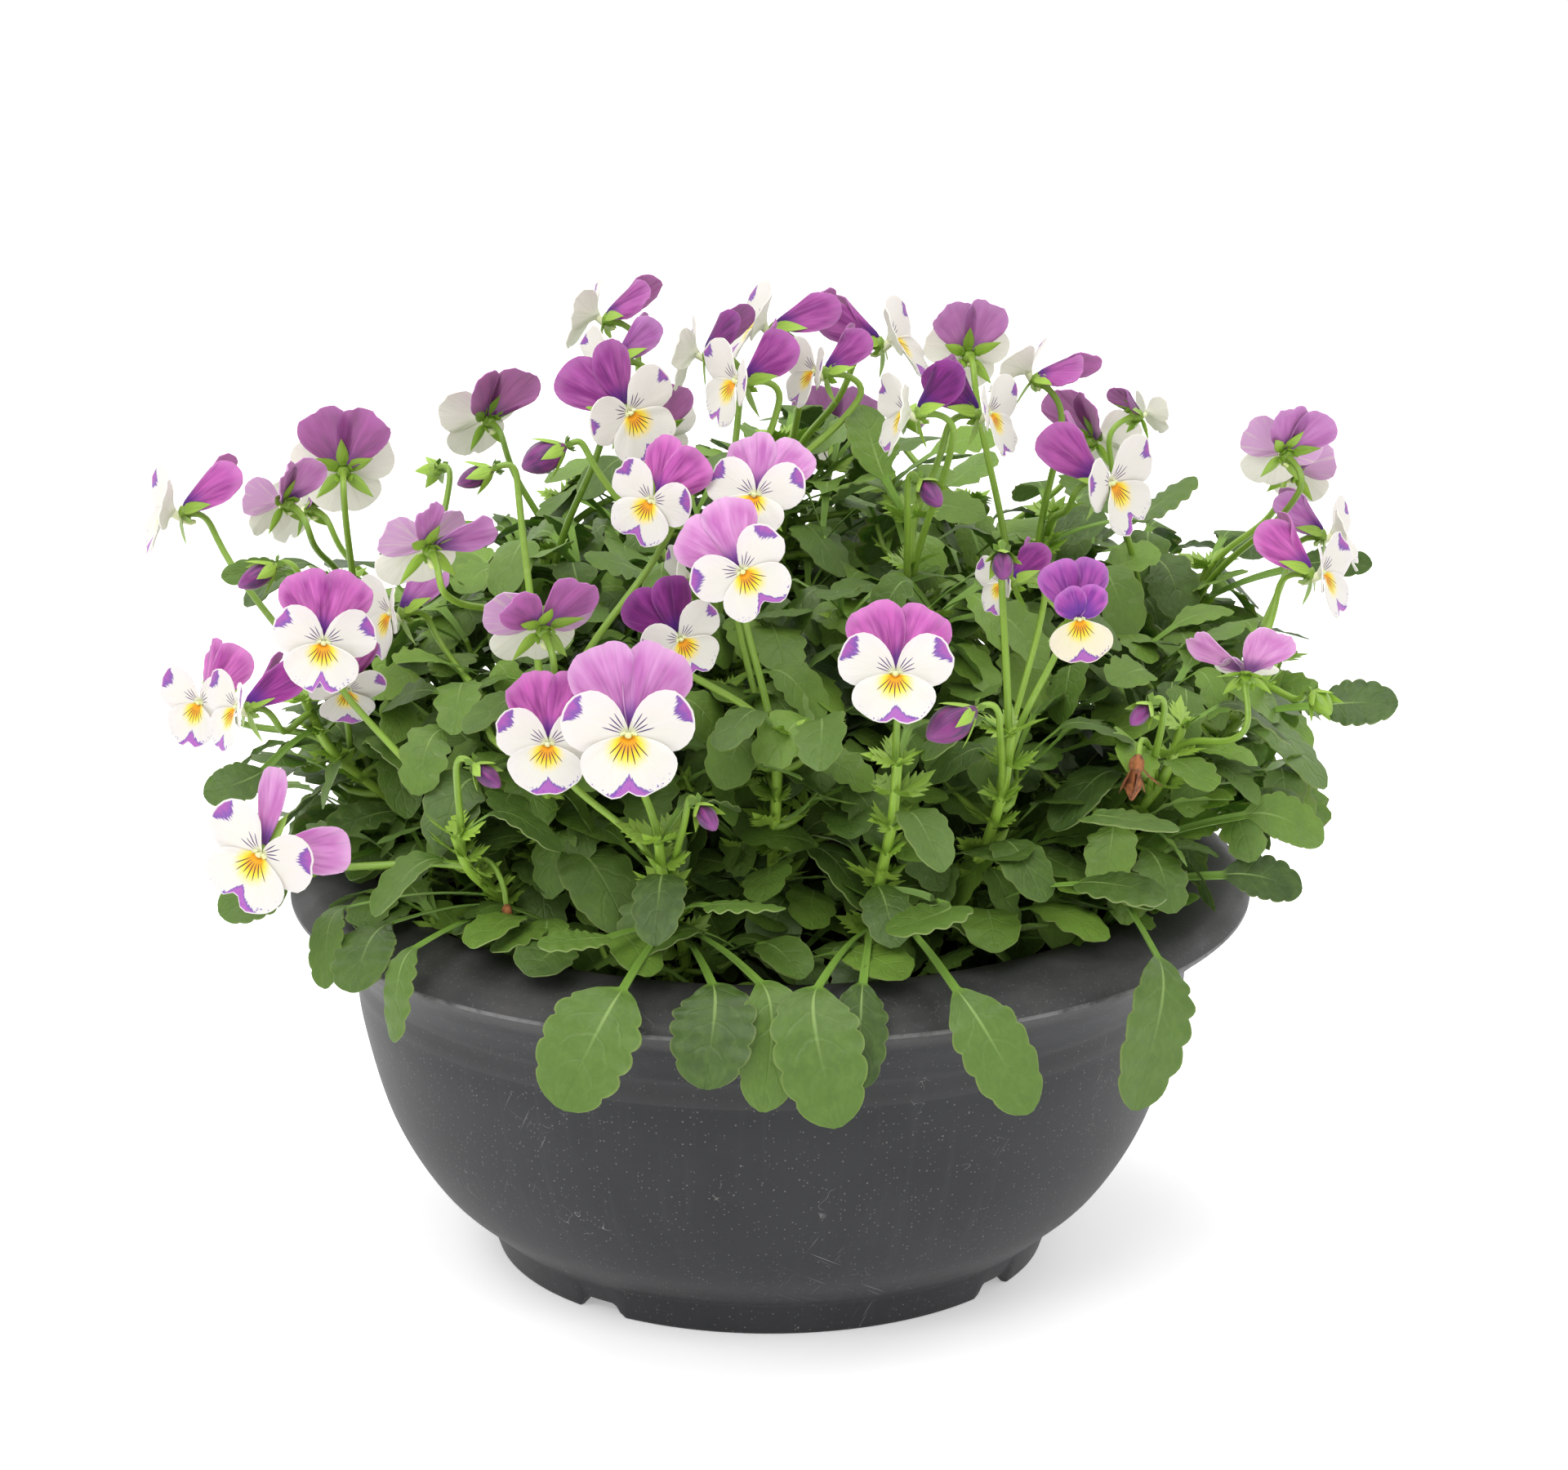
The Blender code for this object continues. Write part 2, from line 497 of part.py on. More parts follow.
def grow_leaves(plant, paths, report):
    for node, branch, place, foot, tip, breadth in LEAVES:
        root = along(paths[node][branch], place)
        options = []
        for step in range(TRIES):
            shift = vec(0, 0, 0) if step == 0 else turned(step * GOLDEN, 20) * (1 + 0.5 * step)
            options.append((True, (root, vec(*foot) + shift * 0.6, vec(*tip) + shift, breadth)))
        if not set_leaf(plant, node, options):
            report.append((node, "leaf", tip))
    draw = np.random.default_rng(11)
    for node, branches in paths.items():
        for branch, path in enumerate(branches):
            turn = draw.uniform(0, 360)
            count = LEAVES_BY_RULE[branch]
            for index in range(count):
                share = 0.34 + 0.64 * index / (count - 1)
                turn += GOLDEN
                root = along(path, share)
                length = 50 - 15 * share + draw.uniform(-4, 4)
                breadth = (0.76 - 0.24 * share) * length * (1 - STALK_SHARE)
                rise = 24 + 20 * share + draw.uniform(-8, 8)
                options = []
                for step in range(TRIES):
                    heading = turn + (-1) ** step * 14 * ((step + 1) // 2)
                    scale = 1 - 0.02 * step
                    out = turned(heading, rise)
                    foot = root + out * length * STALK_SHARE * scale
                    tip = foot + turned(heading, rise - 62) * length * (1 - STALK_SHARE) * scale
                    options.append((False, (root, foot, tip, breadth * scale)))
                if not set_leaf(plant, node, options):
                    report.append((node, branch, "rule leaf", index))


# ---------------------------------------------------------------- bowl and soil
def revolve(profile, sides):
    """Solid of revolution: the profile runs from the axis, round the section, back to the axis."""
    angles = 2 * np.pi * np.arange(sides) / sides
    inner = np.array(profile[1:-1], dtype=float)
    rings = [np.stack([r * np.cos(angles), r * np.sin(angles), np.full(sides, z)], axis=1) for r, z in inner]
    points = np.concatenate([[vec(0, 0, profile[0][1])], *rings, [vec(0, 0, profile[-1][1])]])
    end = len(points) - 1
    faces = []
    for k in range(sides):
        m = (k + 1) % sides
        faces.append((0, 1 + m, 1 + k))
        for i in range(len(inner) - 1):
            a, b = 1 + i * sides, 1 + (i + 1) * sides
            faces.append((a + k, a + m, b + m, b + k))
        a = 1 + (len(inner) - 1) * sides
        faces.append((a + k, a + m, end))
    return points, faces


def inner_wall():
    """The outer wall's line set in by the wall's thickness, from the lip down to the floor."""
    line = np.array(BOWL_WALL, dtype=float)
    steps = np.gradient(line, axis=0)
    normals = np.stack([-steps[:, 1], steps[:, 0]], axis=1)
    normals /= np.linalg.norm(normals, axis=1)[:, None]
    inside = line + normals * WALL
    lip = (BOWL_WALL[-1][0] + 0.2, BOWL_WALL[-1][1] - WALL)
    return [lip] + [tuple(inside[k]) for k in INNER_FOLLOWS]


def bowl_profile():
    return ([(0, FLOOR_UNDER), (FOOT_INNER, FLOOR_UNDER), (FOOT_INNER + 1, 0)] + BOWL_WALL
            + inner_wall() + [(80, FLOOR_TOP), (0, FLOOR_TOP)])


def soil_profile():
    """Fill of the bowl: just inside the wall, up to a level under the collar."""
    wall = [(r, z) for r, z in inner_wall() if z < SOIL_TOP - 4]
    side = [(r - SOIL_GAP, z) for r, z in reversed(wall)]
    return ([(0, FLOOR_TOP + SOIL_GAP), (79, FLOOR_TOP + SOIL_GAP)] + side
            + [(116, SOIL_TOP - 3), (84, SOIL_TOP - 0.5), (42, SOIL_TOP), (0, SOIL_TOP + 0.5)])


# ---------------------------------------------------------------- into the scene
def make_material(name, colour, roughness):
    material = bpy.data.materials.new(name)
    material.use_nodes = True
    shader = material.node_tree.nodes["Principled BSDF"]
    shader.inputs["Base Color"].default_value = (*colour, 1)
    shader.inputs["Roughness"].default_value = roughness
    shader.inputs["Metallic"].default_value = 0
    return material


def make_object(name, shape, material=None):
    points, faces = shape
    mesh = bpy.data.meshes.new(name)
    mesh.from_pydata((np.asarray(points) * METRES).tolist(), [], faces)
    mesh.update()
    thing = bpy.data.objects.new(name, mesh)
    bpy.context.scene.collection.objects.link(thing)
    if material:
        mesh.materials.append(material)
    return thing


def drop(things):
    for thing in list(things):
        bpy.data.objects.remove(thing)


def combine(target, others, operation, solver):
    """One Boolean of the target with a collection of pieces, applied; the pieces then go."""
    group = bpy.data.collections.new(target.name + "_pieces")
    bpy.context.scene.collection.children.link(group)
    for other in others:
        bpy.context.scene.collection.objects.unlink(other)
        group.objects.link(other)
    step = target.modifiers.new("join", "BOOLEAN")
    step.operation, step.operand_type, step.solver = operation, "COLLECTION", solver
    step.collection = group
    evaluated = target.evaluated_get(bpy.context.evaluated_depsgraph_get())
    result = bpy.data.meshes.new_from_object(evaluated)
    target.modifiers.clear()
    target.data = result
    drop(others)
    bpy.data.collections.remove(group)


def notch_shape(azimuth):
    """Cutter for one drain notch: a low wedge across the foot ring with sloping ends."""
    out, across = turned(azimuth), turned(azimuth + 90)
    section = [(-NOTCH_WIDTH / 2, -1), (NOTCH_WIDTH / 2, -1), (NOTCH_WIDTH / 2 - NOTCH_FLARE, NOTCH_HEIGHT),
               (-NOTCH_WIDTH / 2 + NOTCH_FLARE, NOTCH_HEIGHT)]
    points = [out * radius + across * s + vec(0, 0, z) for radius in (70, 90) for s, z in section]
    return points, [(3, 2, 1, 0), (4, 5, 6, 7), (1, 5, 4, 0), (2, 6, 5, 1), (3, 7, 6, 2), (0, 4, 7, 3)]


def upright(x, y, radius, low, high, sides=6):
    return tube([vec(x, y, low), vec(x, y, high)], [radius, radius], sides)


def build_bowl(plastic):
    thing = make_object("bowl", revolve(bowl_profile(), BOWL_SIDES), plastic)
    cutters = [make_object("notch", notch_shape(a)) for a in NOTCH_AZIMUTHS]
    for k in range(DRAIN_COUNT):
        x, y, _ = turned(360 * k / DRAIN_COUNT) * DRAIN_RING
        cutters.append(make_object("drain", upright(x, y, DRAIN_RADIUS, FLOOR_UNDER - 2, FLOOR_TOP + 2)))
    combine(thing, cutters, "DIFFERENCE", "MANIFOLD")
    thing.data.shade_smooth()
    thing.data.set_sharp_from_angle(angle=np.radians(32))


def build_soil(peat):
    thing = make_object("soil", revolve(soil_profile(), SOIL_SIDES), peat)
    cutters = [make_object("hole", upright(*root, HOLE_RADIUS, HOLE_BOTTOM, SOIL_TOP + 5))
               for root, _ in STEMS.values()]
    combine(thing, cutters, "DIFFERENCE", "MANIFOLD")


def main():
    drop(bpy.data.objects)
    plastic = make_material("anthracite_plastic", (0.06, 0.062, 0.066), 0.5)
    peat = make_material("peat", (0.03, 0.02, 0.014), 0.95)
    green = make_material("leaf_green", (0.07, 0.16, 0.04), 0.55)
    hues = {
        "purple": make_material("petal_purple", (0.30, 0.03, 0.30), 0.6),
        "orchid": make_material("petal_orchid", (0.56, 0.22, 0.62), 0.6),
        "dark": make_material("petal_dark", (0.16, 0.01, 0.18), 0.6),
        "cream": make_material("petal_cream", (0.84, 0.78, 0.58), 0.6),
    }
    build_bowl(plastic)
    build_soil(peat)
    plant, paths, report = grow_plant()
    grow_buds(plant, paths, report)
    grow_leaves(plant, paths, report)
    for line in report:
        print("NOTE", line)
    for node, pieces in plant.pieces.items():
        if node.startswith("bloom"):
            make_object(node, pieces[0], hues[node.split("_")[2]])
        elif node.startswith("stem"):
            first = make_object(node, pieces[0], green)
            others = [make_object("piece", p) for p in pieces[1:]]
            combine(first, others, "UNION", "MANIFOLD")


main()
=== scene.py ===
# %% [markdown]
# # A potted horned pansy, finished in Blender
# The solids of this planter are already made and packed: a moulded bowl, its soil, thirteen
# leafy stems and forty-five blooms. They are true in place and size, but plain. This lesson
# dresses them. Each solid gets a finer piece that stands in the same place, worked out with
# numpy from the same dimensions, and each surface gets a finish made of shader nodes.
# %% Load the solids that everything is fitted to
import json

import bpy
import numpy as np
from mathutils import Matrix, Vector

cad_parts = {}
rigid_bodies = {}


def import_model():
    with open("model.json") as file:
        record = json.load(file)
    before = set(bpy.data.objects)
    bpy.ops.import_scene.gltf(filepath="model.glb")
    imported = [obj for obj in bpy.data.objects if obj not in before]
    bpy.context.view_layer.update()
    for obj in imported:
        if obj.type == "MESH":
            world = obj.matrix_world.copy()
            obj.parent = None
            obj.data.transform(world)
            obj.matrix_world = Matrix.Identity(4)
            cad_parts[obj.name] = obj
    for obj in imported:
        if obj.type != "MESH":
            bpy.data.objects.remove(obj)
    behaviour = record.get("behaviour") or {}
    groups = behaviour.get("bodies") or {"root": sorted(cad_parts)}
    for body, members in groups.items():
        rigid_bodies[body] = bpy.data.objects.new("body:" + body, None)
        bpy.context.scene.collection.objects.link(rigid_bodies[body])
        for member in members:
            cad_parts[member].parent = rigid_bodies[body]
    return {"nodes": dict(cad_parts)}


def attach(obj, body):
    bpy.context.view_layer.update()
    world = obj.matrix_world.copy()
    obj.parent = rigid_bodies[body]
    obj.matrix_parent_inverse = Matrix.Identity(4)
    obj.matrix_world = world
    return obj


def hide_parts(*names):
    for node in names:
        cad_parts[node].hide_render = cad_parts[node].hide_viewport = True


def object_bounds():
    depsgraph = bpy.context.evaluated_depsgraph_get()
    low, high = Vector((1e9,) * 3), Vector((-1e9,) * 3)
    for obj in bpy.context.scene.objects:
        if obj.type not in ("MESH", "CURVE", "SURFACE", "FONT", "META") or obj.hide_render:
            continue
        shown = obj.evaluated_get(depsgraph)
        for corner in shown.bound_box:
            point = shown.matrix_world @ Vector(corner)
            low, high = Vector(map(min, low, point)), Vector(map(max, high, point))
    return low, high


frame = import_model()
cad_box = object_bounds()
MM = 0.001                      # the planting is laid out in millimetres, the meshes are in metres
print("nodes", len(frame["nodes"]), "box", np.round(np.array(cad_box) / MM, 1).tolist())

# %% [markdown]
# ## Small helpers
# A plant is mostly directions: which way a leaf heads, which way a bloom looks. These helpers
# turn angles into unit vectors, draw smooth curves and find a place along them.
# %% Directions and curves
def vec(*values):
    """A point or a direction."""
    return np.array(values, dtype=float)


def unit(v):
    """The same direction with a length of one; works on one vector or on rows of vectors."""
    return v / np.maximum(np.linalg.norm(v, axis=-1, keepdims=True), 1e-9)


def turned(azimuth, pitch=0.0):
    """Unit direction from an azimuth round +Z and a pitch above the level, in degrees."""
    a, p = np.radians(azimuth), np.radians(pitch)
    return vec(np.cos(p) * np.cos(a), np.cos(p) * np.sin(a), np.sin(p))


def bezier(p0, p1, p2, p3, count):
    """Cubic curve: the four points weighted by (1-t)^3, 3t(1-t)^2, 3t^2(1-t) and t^3.

    Count is a number of even steps of t, or the values of t themselves.
    """
    t = (np.linspace(0, 1, count) if np.ndim(count) == 0 else count)[:, None]
    return (1 - t) ** 3 * p0 + 3 * t * (1 - t) ** 2 * p1 + 3 * t ** 2 * (1 - t) * p2 + t ** 3 * p3


def along(path, share):
    """Point at a share of the path's length."""
    steps = np.linalg.norm(np.diff(path, axis=0), axis=1)
    run = np.concatenate([[0], np.cumsum(steps)])
    return np.array([np.interp(share * run[-1], run, path[:, k]) for k in range(3)])


def tangents(path):
    """Unit heading at each point, from the neighbours on both sides."""
    return unit(np.gradient(path, axis=0))


def smooth_step(low, high, value):
    """0 below low, 1 above high, and 3t^2 - 2t^3 between them."""
    t = np.clip((value - low) / (high - low), 0, 1)
    return t * t * (3 - 2 * t)


print("a quarter turn from +X points to", np.round(turned(90), 3))

# %% [markdown]
# ## Growing meshes from grids
# Petals, leaves, sepals, stalks and the bowl are all the same kind of thing to the computer: a
# sheet of points in rows and columns. A petal or a leaf is such a sheet with a front and a back
# skin; a stalk is a sheet rolled into a bar. Joining hundreds of them into one mesh keeps the
# scene light, so each piece is a list of parts that are laid end to end when it is finished.
# Every point also carries some paint: `mood` varies the colour from leaf to leaf, `back` tells
# the underside from the face, and `share` says how far out towards the rim the point lies.
# %% Parts: points, faces, pattern coordinates and paint
def part(points, faces, uv, mood=0.5, back=0.0, share=0.0, finish=0):
    """One part of a piece. Mood, back and share may be one number or one for each point."""
    paint = np.empty((len(points), 3))
    paint[:, 0], paint[:, 1], paint[:, 2] = mood, back, share
    return dict(points=points, faces=faces, uv=uv, paint=paint, finish=finish)


def grid_quads(rows, columns, wrap=False):
    """Four-sided faces of a rows by columns grid; wrap joins the last column to the first."""
    i = np.arange(rows - 1)[:, None]
    j = np.arange(columns if wrap else columns - 1)[None, :]
    a, b = i * columns + j, i * columns + (j + 1) % columns
    return np.stack([a, b, b + columns, a + columns], axis=-1).reshape(-1, 4)


print("a grid of 3 by 4 points has", len(grid_quads(3, 4)), "faces, rolled up", len(grid_quads(3, 4, True)))

# %% [markdown]
# A Solidify modifier could thicken the sheets, but the back skin needs paint of its own. Large
# sheets get two skins and a strip round the rim. On small ones both skins simply meet in the
# rim, which saves about a third of the triangles.
# %% Sheets with two skins
def normals(sheet):
    """Unit direction out of the sheet at each point: along its row crossed with down its column."""
    return unit(np.cross(np.gradient(sheet, axis=1), np.gradient(sheet, axis=0)))


def thin_shell(sheet, uv, thick, mood, share, finish):
    """Closed skin round a sheet of points.

    The front is the sheet moved half a thickness along its normals, the back is moved the other
    way with its faces turned over, and a strip joins the two rims.
    """
    rows, columns = sheet.shape[:2]
    lift = normals(sheet) * thick / 2
    points = np.concatenate([(sheet + lift).reshape(-1, 3), (sheet - lift).reshape(-1, 3)])
    count = rows * columns
    front = grid_quads(rows, columns)
    index = np.arange(count).reshape(rows, columns)
    rim = np.concatenate([index[0], index[1:, -1], index[-1, -2::-1], index[-2:0:-1, 0]])
    after = np.roll(rim, -1)
    strip = np.stack([rim, rim + count, after + count, after], axis=1)
    faces = [front, front[:, ::-1] + count, strip]
    back = np.repeat([0.0, 1.0], count)
    shares = np.tile(np.broadcast_to(share, (rows, columns)).reshape(-1), 2)
    flat_uv = np.tile(uv.reshape(-1, 2), (2, 1))
    return part(points, faces, flat_uv, mood, back, shares, finish)


def lens_shell(sheet, uv, thick, mood, share, finish):
    """Closed skin round a sheet that runs out to nothing at its rim, where both skins meet."""
    rows, columns = sheet.shape[:2]
    inner = np.zeros((rows, columns), dtype=bool)
    inner[1:-1, 1:-1] = True
    inner = inner.reshape(-1)
    flat = sheet.reshape(-1, 3)
    lift = (normals(sheet) * thick / 2).reshape(-1, 3) * inner[:, None]
    points = np.concatenate([flat + lift, (flat - lift)[inner]])
    quads, other = grid_quads(rows, columns), np.arange(len(flat))
    other[inner] = len(flat) + np.arange(inner.sum())
    back = np.repeat([0.0, 1.0], [len(flat), inner.sum()])
    shares, flat_uv = np.broadcast_to(share, (rows, columns)).reshape(-1), uv.reshape(-1, 2)
    return part(points, [quads, other[quads][:, ::-1]], np.concatenate([flat_uv, flat_uv[inner]]), mood,
                back, np.concatenate([shares, shares[inner]]), finish)


# %% [markdown]
# Stalks and stems are circles carried along a line, and the bowl is a section carried round its
# axis. Both are rings in a row, with a point at each end that closes them. A curve with a bevel
# could make the stalks, but it would have to become a mesh before it could be joined and painted.
# %% Rolled-up sheets
def closed_rings(rings, poles, run):
    """Points, faces and pattern coordinates of a row of rings, closed at both ends by a pole point.

    Run is how far along the body each ring lies, from 0 to 1.
    """
    rows, sides = rings.shape[:2]
    last, k = rows * sides, np.arange(sides)
    m = (k + 1) % sides
    start_cap = np.stack([np.full(sides, last), m, k], axis=1)
    end_cap = np.stack([np.full(sides, last + 1), last - sides + k, last - sides + m], axis=1)
    u, v = np.meshgrid(k / sides, run)
    uv = np.concatenate([np.stack([u, v], axis=-1).reshape(-1, 2), [[0, 0], [0, 1]]])
    points = np.concatenate([rings.reshape(-1, 3), poles])
    return points, [grid_quads(rows, sides, wrap=True), start_cap, end_cap], uv


def bar(path, radii, sides, mood, finish=1, ridge=0.0):
    """Round bar along a path: a circle carried along it, closed at both ends by a pole point.

    The circle's first direction is the path's own flat side (the direction in which the path
    varies least), made square to each heading. Ridge makes the section slightly angular.
    """
    path = np.asarray(path, dtype=float)
    heading = tangents(path)
    least = np.linalg.svd(path - path.mean(0) + 1e-6)[2][-1]
    side = unit(least - heading * (heading @ least)[:, None])
    other = np.cross(heading, side)
    angle = 2 * np.pi * np.arange(sides) / sides
    radii = np.broadcast_to(radii, len(path))[:, None] * (1 + ridge * np.cos(4 * angle))[None, :]
    ring = (path[:, None] + radii[:, :, None] * (np.cos(angle)[:, None] * side[:, None]
                                                + np.sin(angle)[:, None] * other[:, None]))
    run = np.linspace(0, 1, len(path))
    return part(*closed_rings(ring, path[[0, -1]], run), mood, finish=finish)


# %% [markdown]
# When all the parts of a piece are ready they become one Blender mesh. Whole arrays go in with
# `foreach_set`, which is hundreds of times faster than adding points one by one. The pattern
# coordinates go in as the UV map and the paint as three named attributes, where the finishes
# can read them.
# %% From parts to a finished piece
made = {}


def stand(name, data):
    """Puts a mesh, a light or a camera into the scene."""
    thing = bpy.data.objects.new(name, data)
    bpy.context.scene.collection.objects.link(thing)
    return thing


def build_piece(name, parts, finishes, slot, nodes, smooth):
    """One object from many parts, riding with the bowl and standing for the named nodes.

    Faces that meet at a sharper angle than `smooth` keep a hard edge between them.
    """
    sizes = [len(p["points"]) for p in parts]
    starts = np.concatenate([[0], np.cumsum(sizes)[:-1]])
    points = np.concatenate([p["points"] for p in parts]) * MM
    loops, lengths, finish_of = [], [], []
    for p, start in zip(parts, starts):
        for faces in p["faces"]:
            loops.append((faces + start).reshape(-1))
            lengths.append(np.full(len(faces), faces.shape[1]))
            finish_of.append(np.full(len(faces), p["finish"]))
    loops, lengths = np.concatenate(loops), np.concatenate(lengths)
    mesh = bpy.data.meshes.new(name)
    mesh.vertices.add(len(points))
    mesh.vertices.foreach_set("co", points.astype(np.float32).reshape(-1))
    mesh.loops.add(len(loops))
    mesh.loops.foreach_set("vertex_index", loops.astype(np.int32))
    mesh.polygons.add(len(lengths))
    mesh.polygons.foreach_set("loop_start", np.concatenate([[0], np.cumsum(lengths)[:-1]]).astype(np.int32))
    for finish in finishes:
        mesh.materials.append(finish)
    mesh.polygons.foreach_set("material_index", np.concatenate(finish_of).astype(np.int32))
    mesh.update(calc_edges=True)
    uv = np.concatenate([p["uv"] for p in parts])[loops]
    mesh.uv_layers.new(name="pattern").data.foreach_set("uv", uv.astype(np.float32).reshape(-1))
    paint = np.concatenate([p["paint"] for p in parts]).astype(np.float32)
    for column, word in enumerate(("mood", "back", "share")):
        layer = mesh.attributes.new(word, "FLOAT", "POINT")
        layer.data.foreach_set("value", np.ascontiguousarray(paint[:, column]))
    mesh.shade_smooth()
    mesh.set_sharp_from_angle(angle=np.radians(smooth))
    thing = stand(name, mesh)
    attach(thing, "root")
    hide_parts(*nodes)
    made[name] = int((lengths - 2).sum())
    return thing


# %% [markdown]
# ## Finishes
# A finish is a small network of shader nodes that ends in one Principled shader. The two classes
# below keep that readable: a net's methods add nodes and give back their outputs, and outputs
# can be added, subtracted and multiplied, so that a pattern is written as a formula. Angles and
# distances come from the pattern coordinates, never from where the camera stands.
# %% Shorthand for shader nodes
def hue(red, green, blue):
    """A colour as seen on a screen (0 to 255) turned into the linear values that shaders use."""
    c = np.array([red, green, blue]) / 255
    return (*np.where(c <= 0.04045, c / 12.92, ((c + 0.055) / 1.055) ** 2.4).tolist(), 1.0)


class Value:
    """The output of a node. Each +, - or * with a number or another value adds a Math node."""

    def __init__(self, net, socket):
        self.net, self.socket = net, socket

    def __add__(self, other):
        return self.net.math("ADD", self, other)

    def __radd__(self, other):
        return self.net.math("ADD", other, self)

    def __sub__(self, other):
        return self.net.math("SUBTRACT", self, other)

    def __rsub__(self, other):
        return self.net.math("SUBTRACT", other, self)

    def __mul__(self, other):
        return self.net.math("MULTIPLY", self, other)


class Net:
    """The node tree of one finish."""

    def __init__(self, name, rough, **sockets):
        self.material = bpy.data.materials.new(name)
        self.material.use_nodes = True
        self.tree = self.material.node_tree
        self.shader = self.tree.nodes["Principled BSDF"]
        self.shader.inputs["Roughness"].default_value = rough
        for socket, value in sockets.items():
            self.shader.inputs[socket.replace("_", " ")].default_value = value

    def fill(self, node, key, value):
        """Gives an input of a node its value: a link to an output, or what is written there."""
        if isinstance(value, Value):
            self.tree.links.new(value.socket, node.inputs[key])
        else:
            node.inputs[key].default_value = value

    def outputs(self, kind, values=(), **settings):
        """Adds a node, fills its inputs by place or by name, and gives back its outputs by name."""
        node = self.tree.nodes.new("ShaderNode" + kind)
        for setting, value in settings.items():
            setattr(node, setting, value)
        for key, value in (values.items() if isinstance(values, dict) else enumerate(values)):
            self.fill(node, key, value)
        return {socket.identifier: Value(self, socket) for socket in node.outputs}

    def first(self, kind, values=(), **settings):
        """The same, where only the first output is wanted."""
        return next(iter(self.outputs(kind, values, **settings).values()))

    def math(self, operation, *values, clamp=False):
        """A Math node on one, two or three values."""
        return self.first("Math", values, operation=operation, use_clamp=clamp)

    def step(self, value, low, high):
        """0 to 1 as the value goes smoothly from low to high, which may be the smaller one."""
        ends = [low, high, 0.0, 1.0] if high >= low else [high, low, 1.0, 0.0]
        return self.first("MapRange", [value, *ends], interpolation_type="SMOOTHSTEP")

    def mix(self, factor, a, b, blend="MIX"):
        """Colour a where the factor is 0 and b where it is 1, or another blend of the two."""
        found = self.outputs("Mix", {0: factor, 6: a, 7: b}, data_type="RGBA", blend_type=blend)
        return found["Result_Color"]

    def paint(self, word):
        """The mood, the back or the share of the point."""
        return self.outputs("Attribute", attribute_name=word)["Fac"]

    def split(self, vector):
        """The three parts of a vector."""
        return tuple(self.outputs("SeparateXYZ", [vector]).values())

    def pattern(self):
        """The two pattern coordinates of the piece."""
        return self.split(self.first("UVMap", uv_map="pattern"))[:2]

    def place(self):
        """Where on the object, in metres."""
        return self.outputs("TexCoord")["Object"]

    def join(self, x, y, z=0.0):
        return self.first("CombineXYZ", [x, y, z])

    def stretch(self, vector, scale):
        return self.first("Mapping", {0: vector, 3: scale})

    def noise(self, vector, scale, detail, rough=0.5):
        """Smooth chance round 0.5; the scale is how often it changes in one unit of the vector."""
        values = {"Vector": vector, "Scale": scale, "Detail": detail, "Roughness": rough}
        return self.first("TexNoise", values)

    def cells(self, vector, scale):
        """Round every cell's middle: the distance from it, and three chances that are the cell's own."""
        found = self.outputs("TexVoronoi", {"Vector": vector, "Scale": scale})
        return found["Distance"], tuple(self.outputs("SeparateColor", [found["Color"]]).values())

    def bump(self, height, strength, distance):
        """Tilts the shading as if the surface rose by the height times the distance in metres."""
        lifted = self.first("Bump", {"Height": height, "Strength": strength, "Distance": distance})
        self.fill(self.shader, "Normal", lifted)

    def done(self, colour, rough=None):
        """Gives the shader its colour and, where it varies, its roughness, and returns the material."""
        self.fill(self.shader, "Base Color", colour)
        if rough is not None:
            self.fill(self.shader, "Roughness", rough)
        return self.material


print("shader version of mid grey:", np.round(hue(128, 128, 128), 2))

# %% [markdown]
# ## The bowl
# The planter is a blow-moulded bowl in anthracite plastic, 270 mm across its collar. It could be
# made with a Screw modifier, but here the section is worked out as a curve and carried round in
# one array, so that the foot notches can be shaped in the same step. The section is the list of
# corners from the dimensions, with the long wall drawn as a smooth curve and each corner given
# its own small radius: real moulded plastic has no sharp edges.
# %% The bowl's section
WALL = 3.0
FOOT_INNER, FLOOR_UNDER, FLOOR_TOP = 74.5, 9.5, 12.5
BOWL_WALL = [(78, 0), (81.5, 10), (83.5, 11.5), (97, 24), (108.5, 44), (115.6, 70), (117.5, 88),
             (125, 97), (135, 105.6), (134.4, 107.8), (128, 112), (119.5, 114.2), (111, 113.4)]
INNER_FOLLOWS = (11, 9, 7, 6, 5, 4, 3)
NECK = 88.0                     # height where the wall turns out into the flare of the rim
STEP_LINE, STEP_DEPTH = 80.0, 0.22


def spline(knots, per_span):
    """Curve through the knots: a cubic between each two, with Catmull-Rom slopes."""
    knots = np.array(knots, dtype=float)
    padded = np.concatenate([[2 * knots[0] - knots[1]], knots, [2 * knots[-1] - knots[-2]]])
    t = np.linspace(0, 1, per_span, endpoint=False)[None, :, None]
    a, b, c, d = (padded[k:len(padded) - 3 + k, None, :] for k in range(4))
    curve = 0.5 * (2 * b + (c - a) * t + (2 * a - 5 * b + 4 * c - d) * t ** 2
                   + (3 * b - a - 3 * c + d) * t ** 3)
    return np.concatenate([curve.reshape(-1, knots.shape[1]), knots[-1:]])


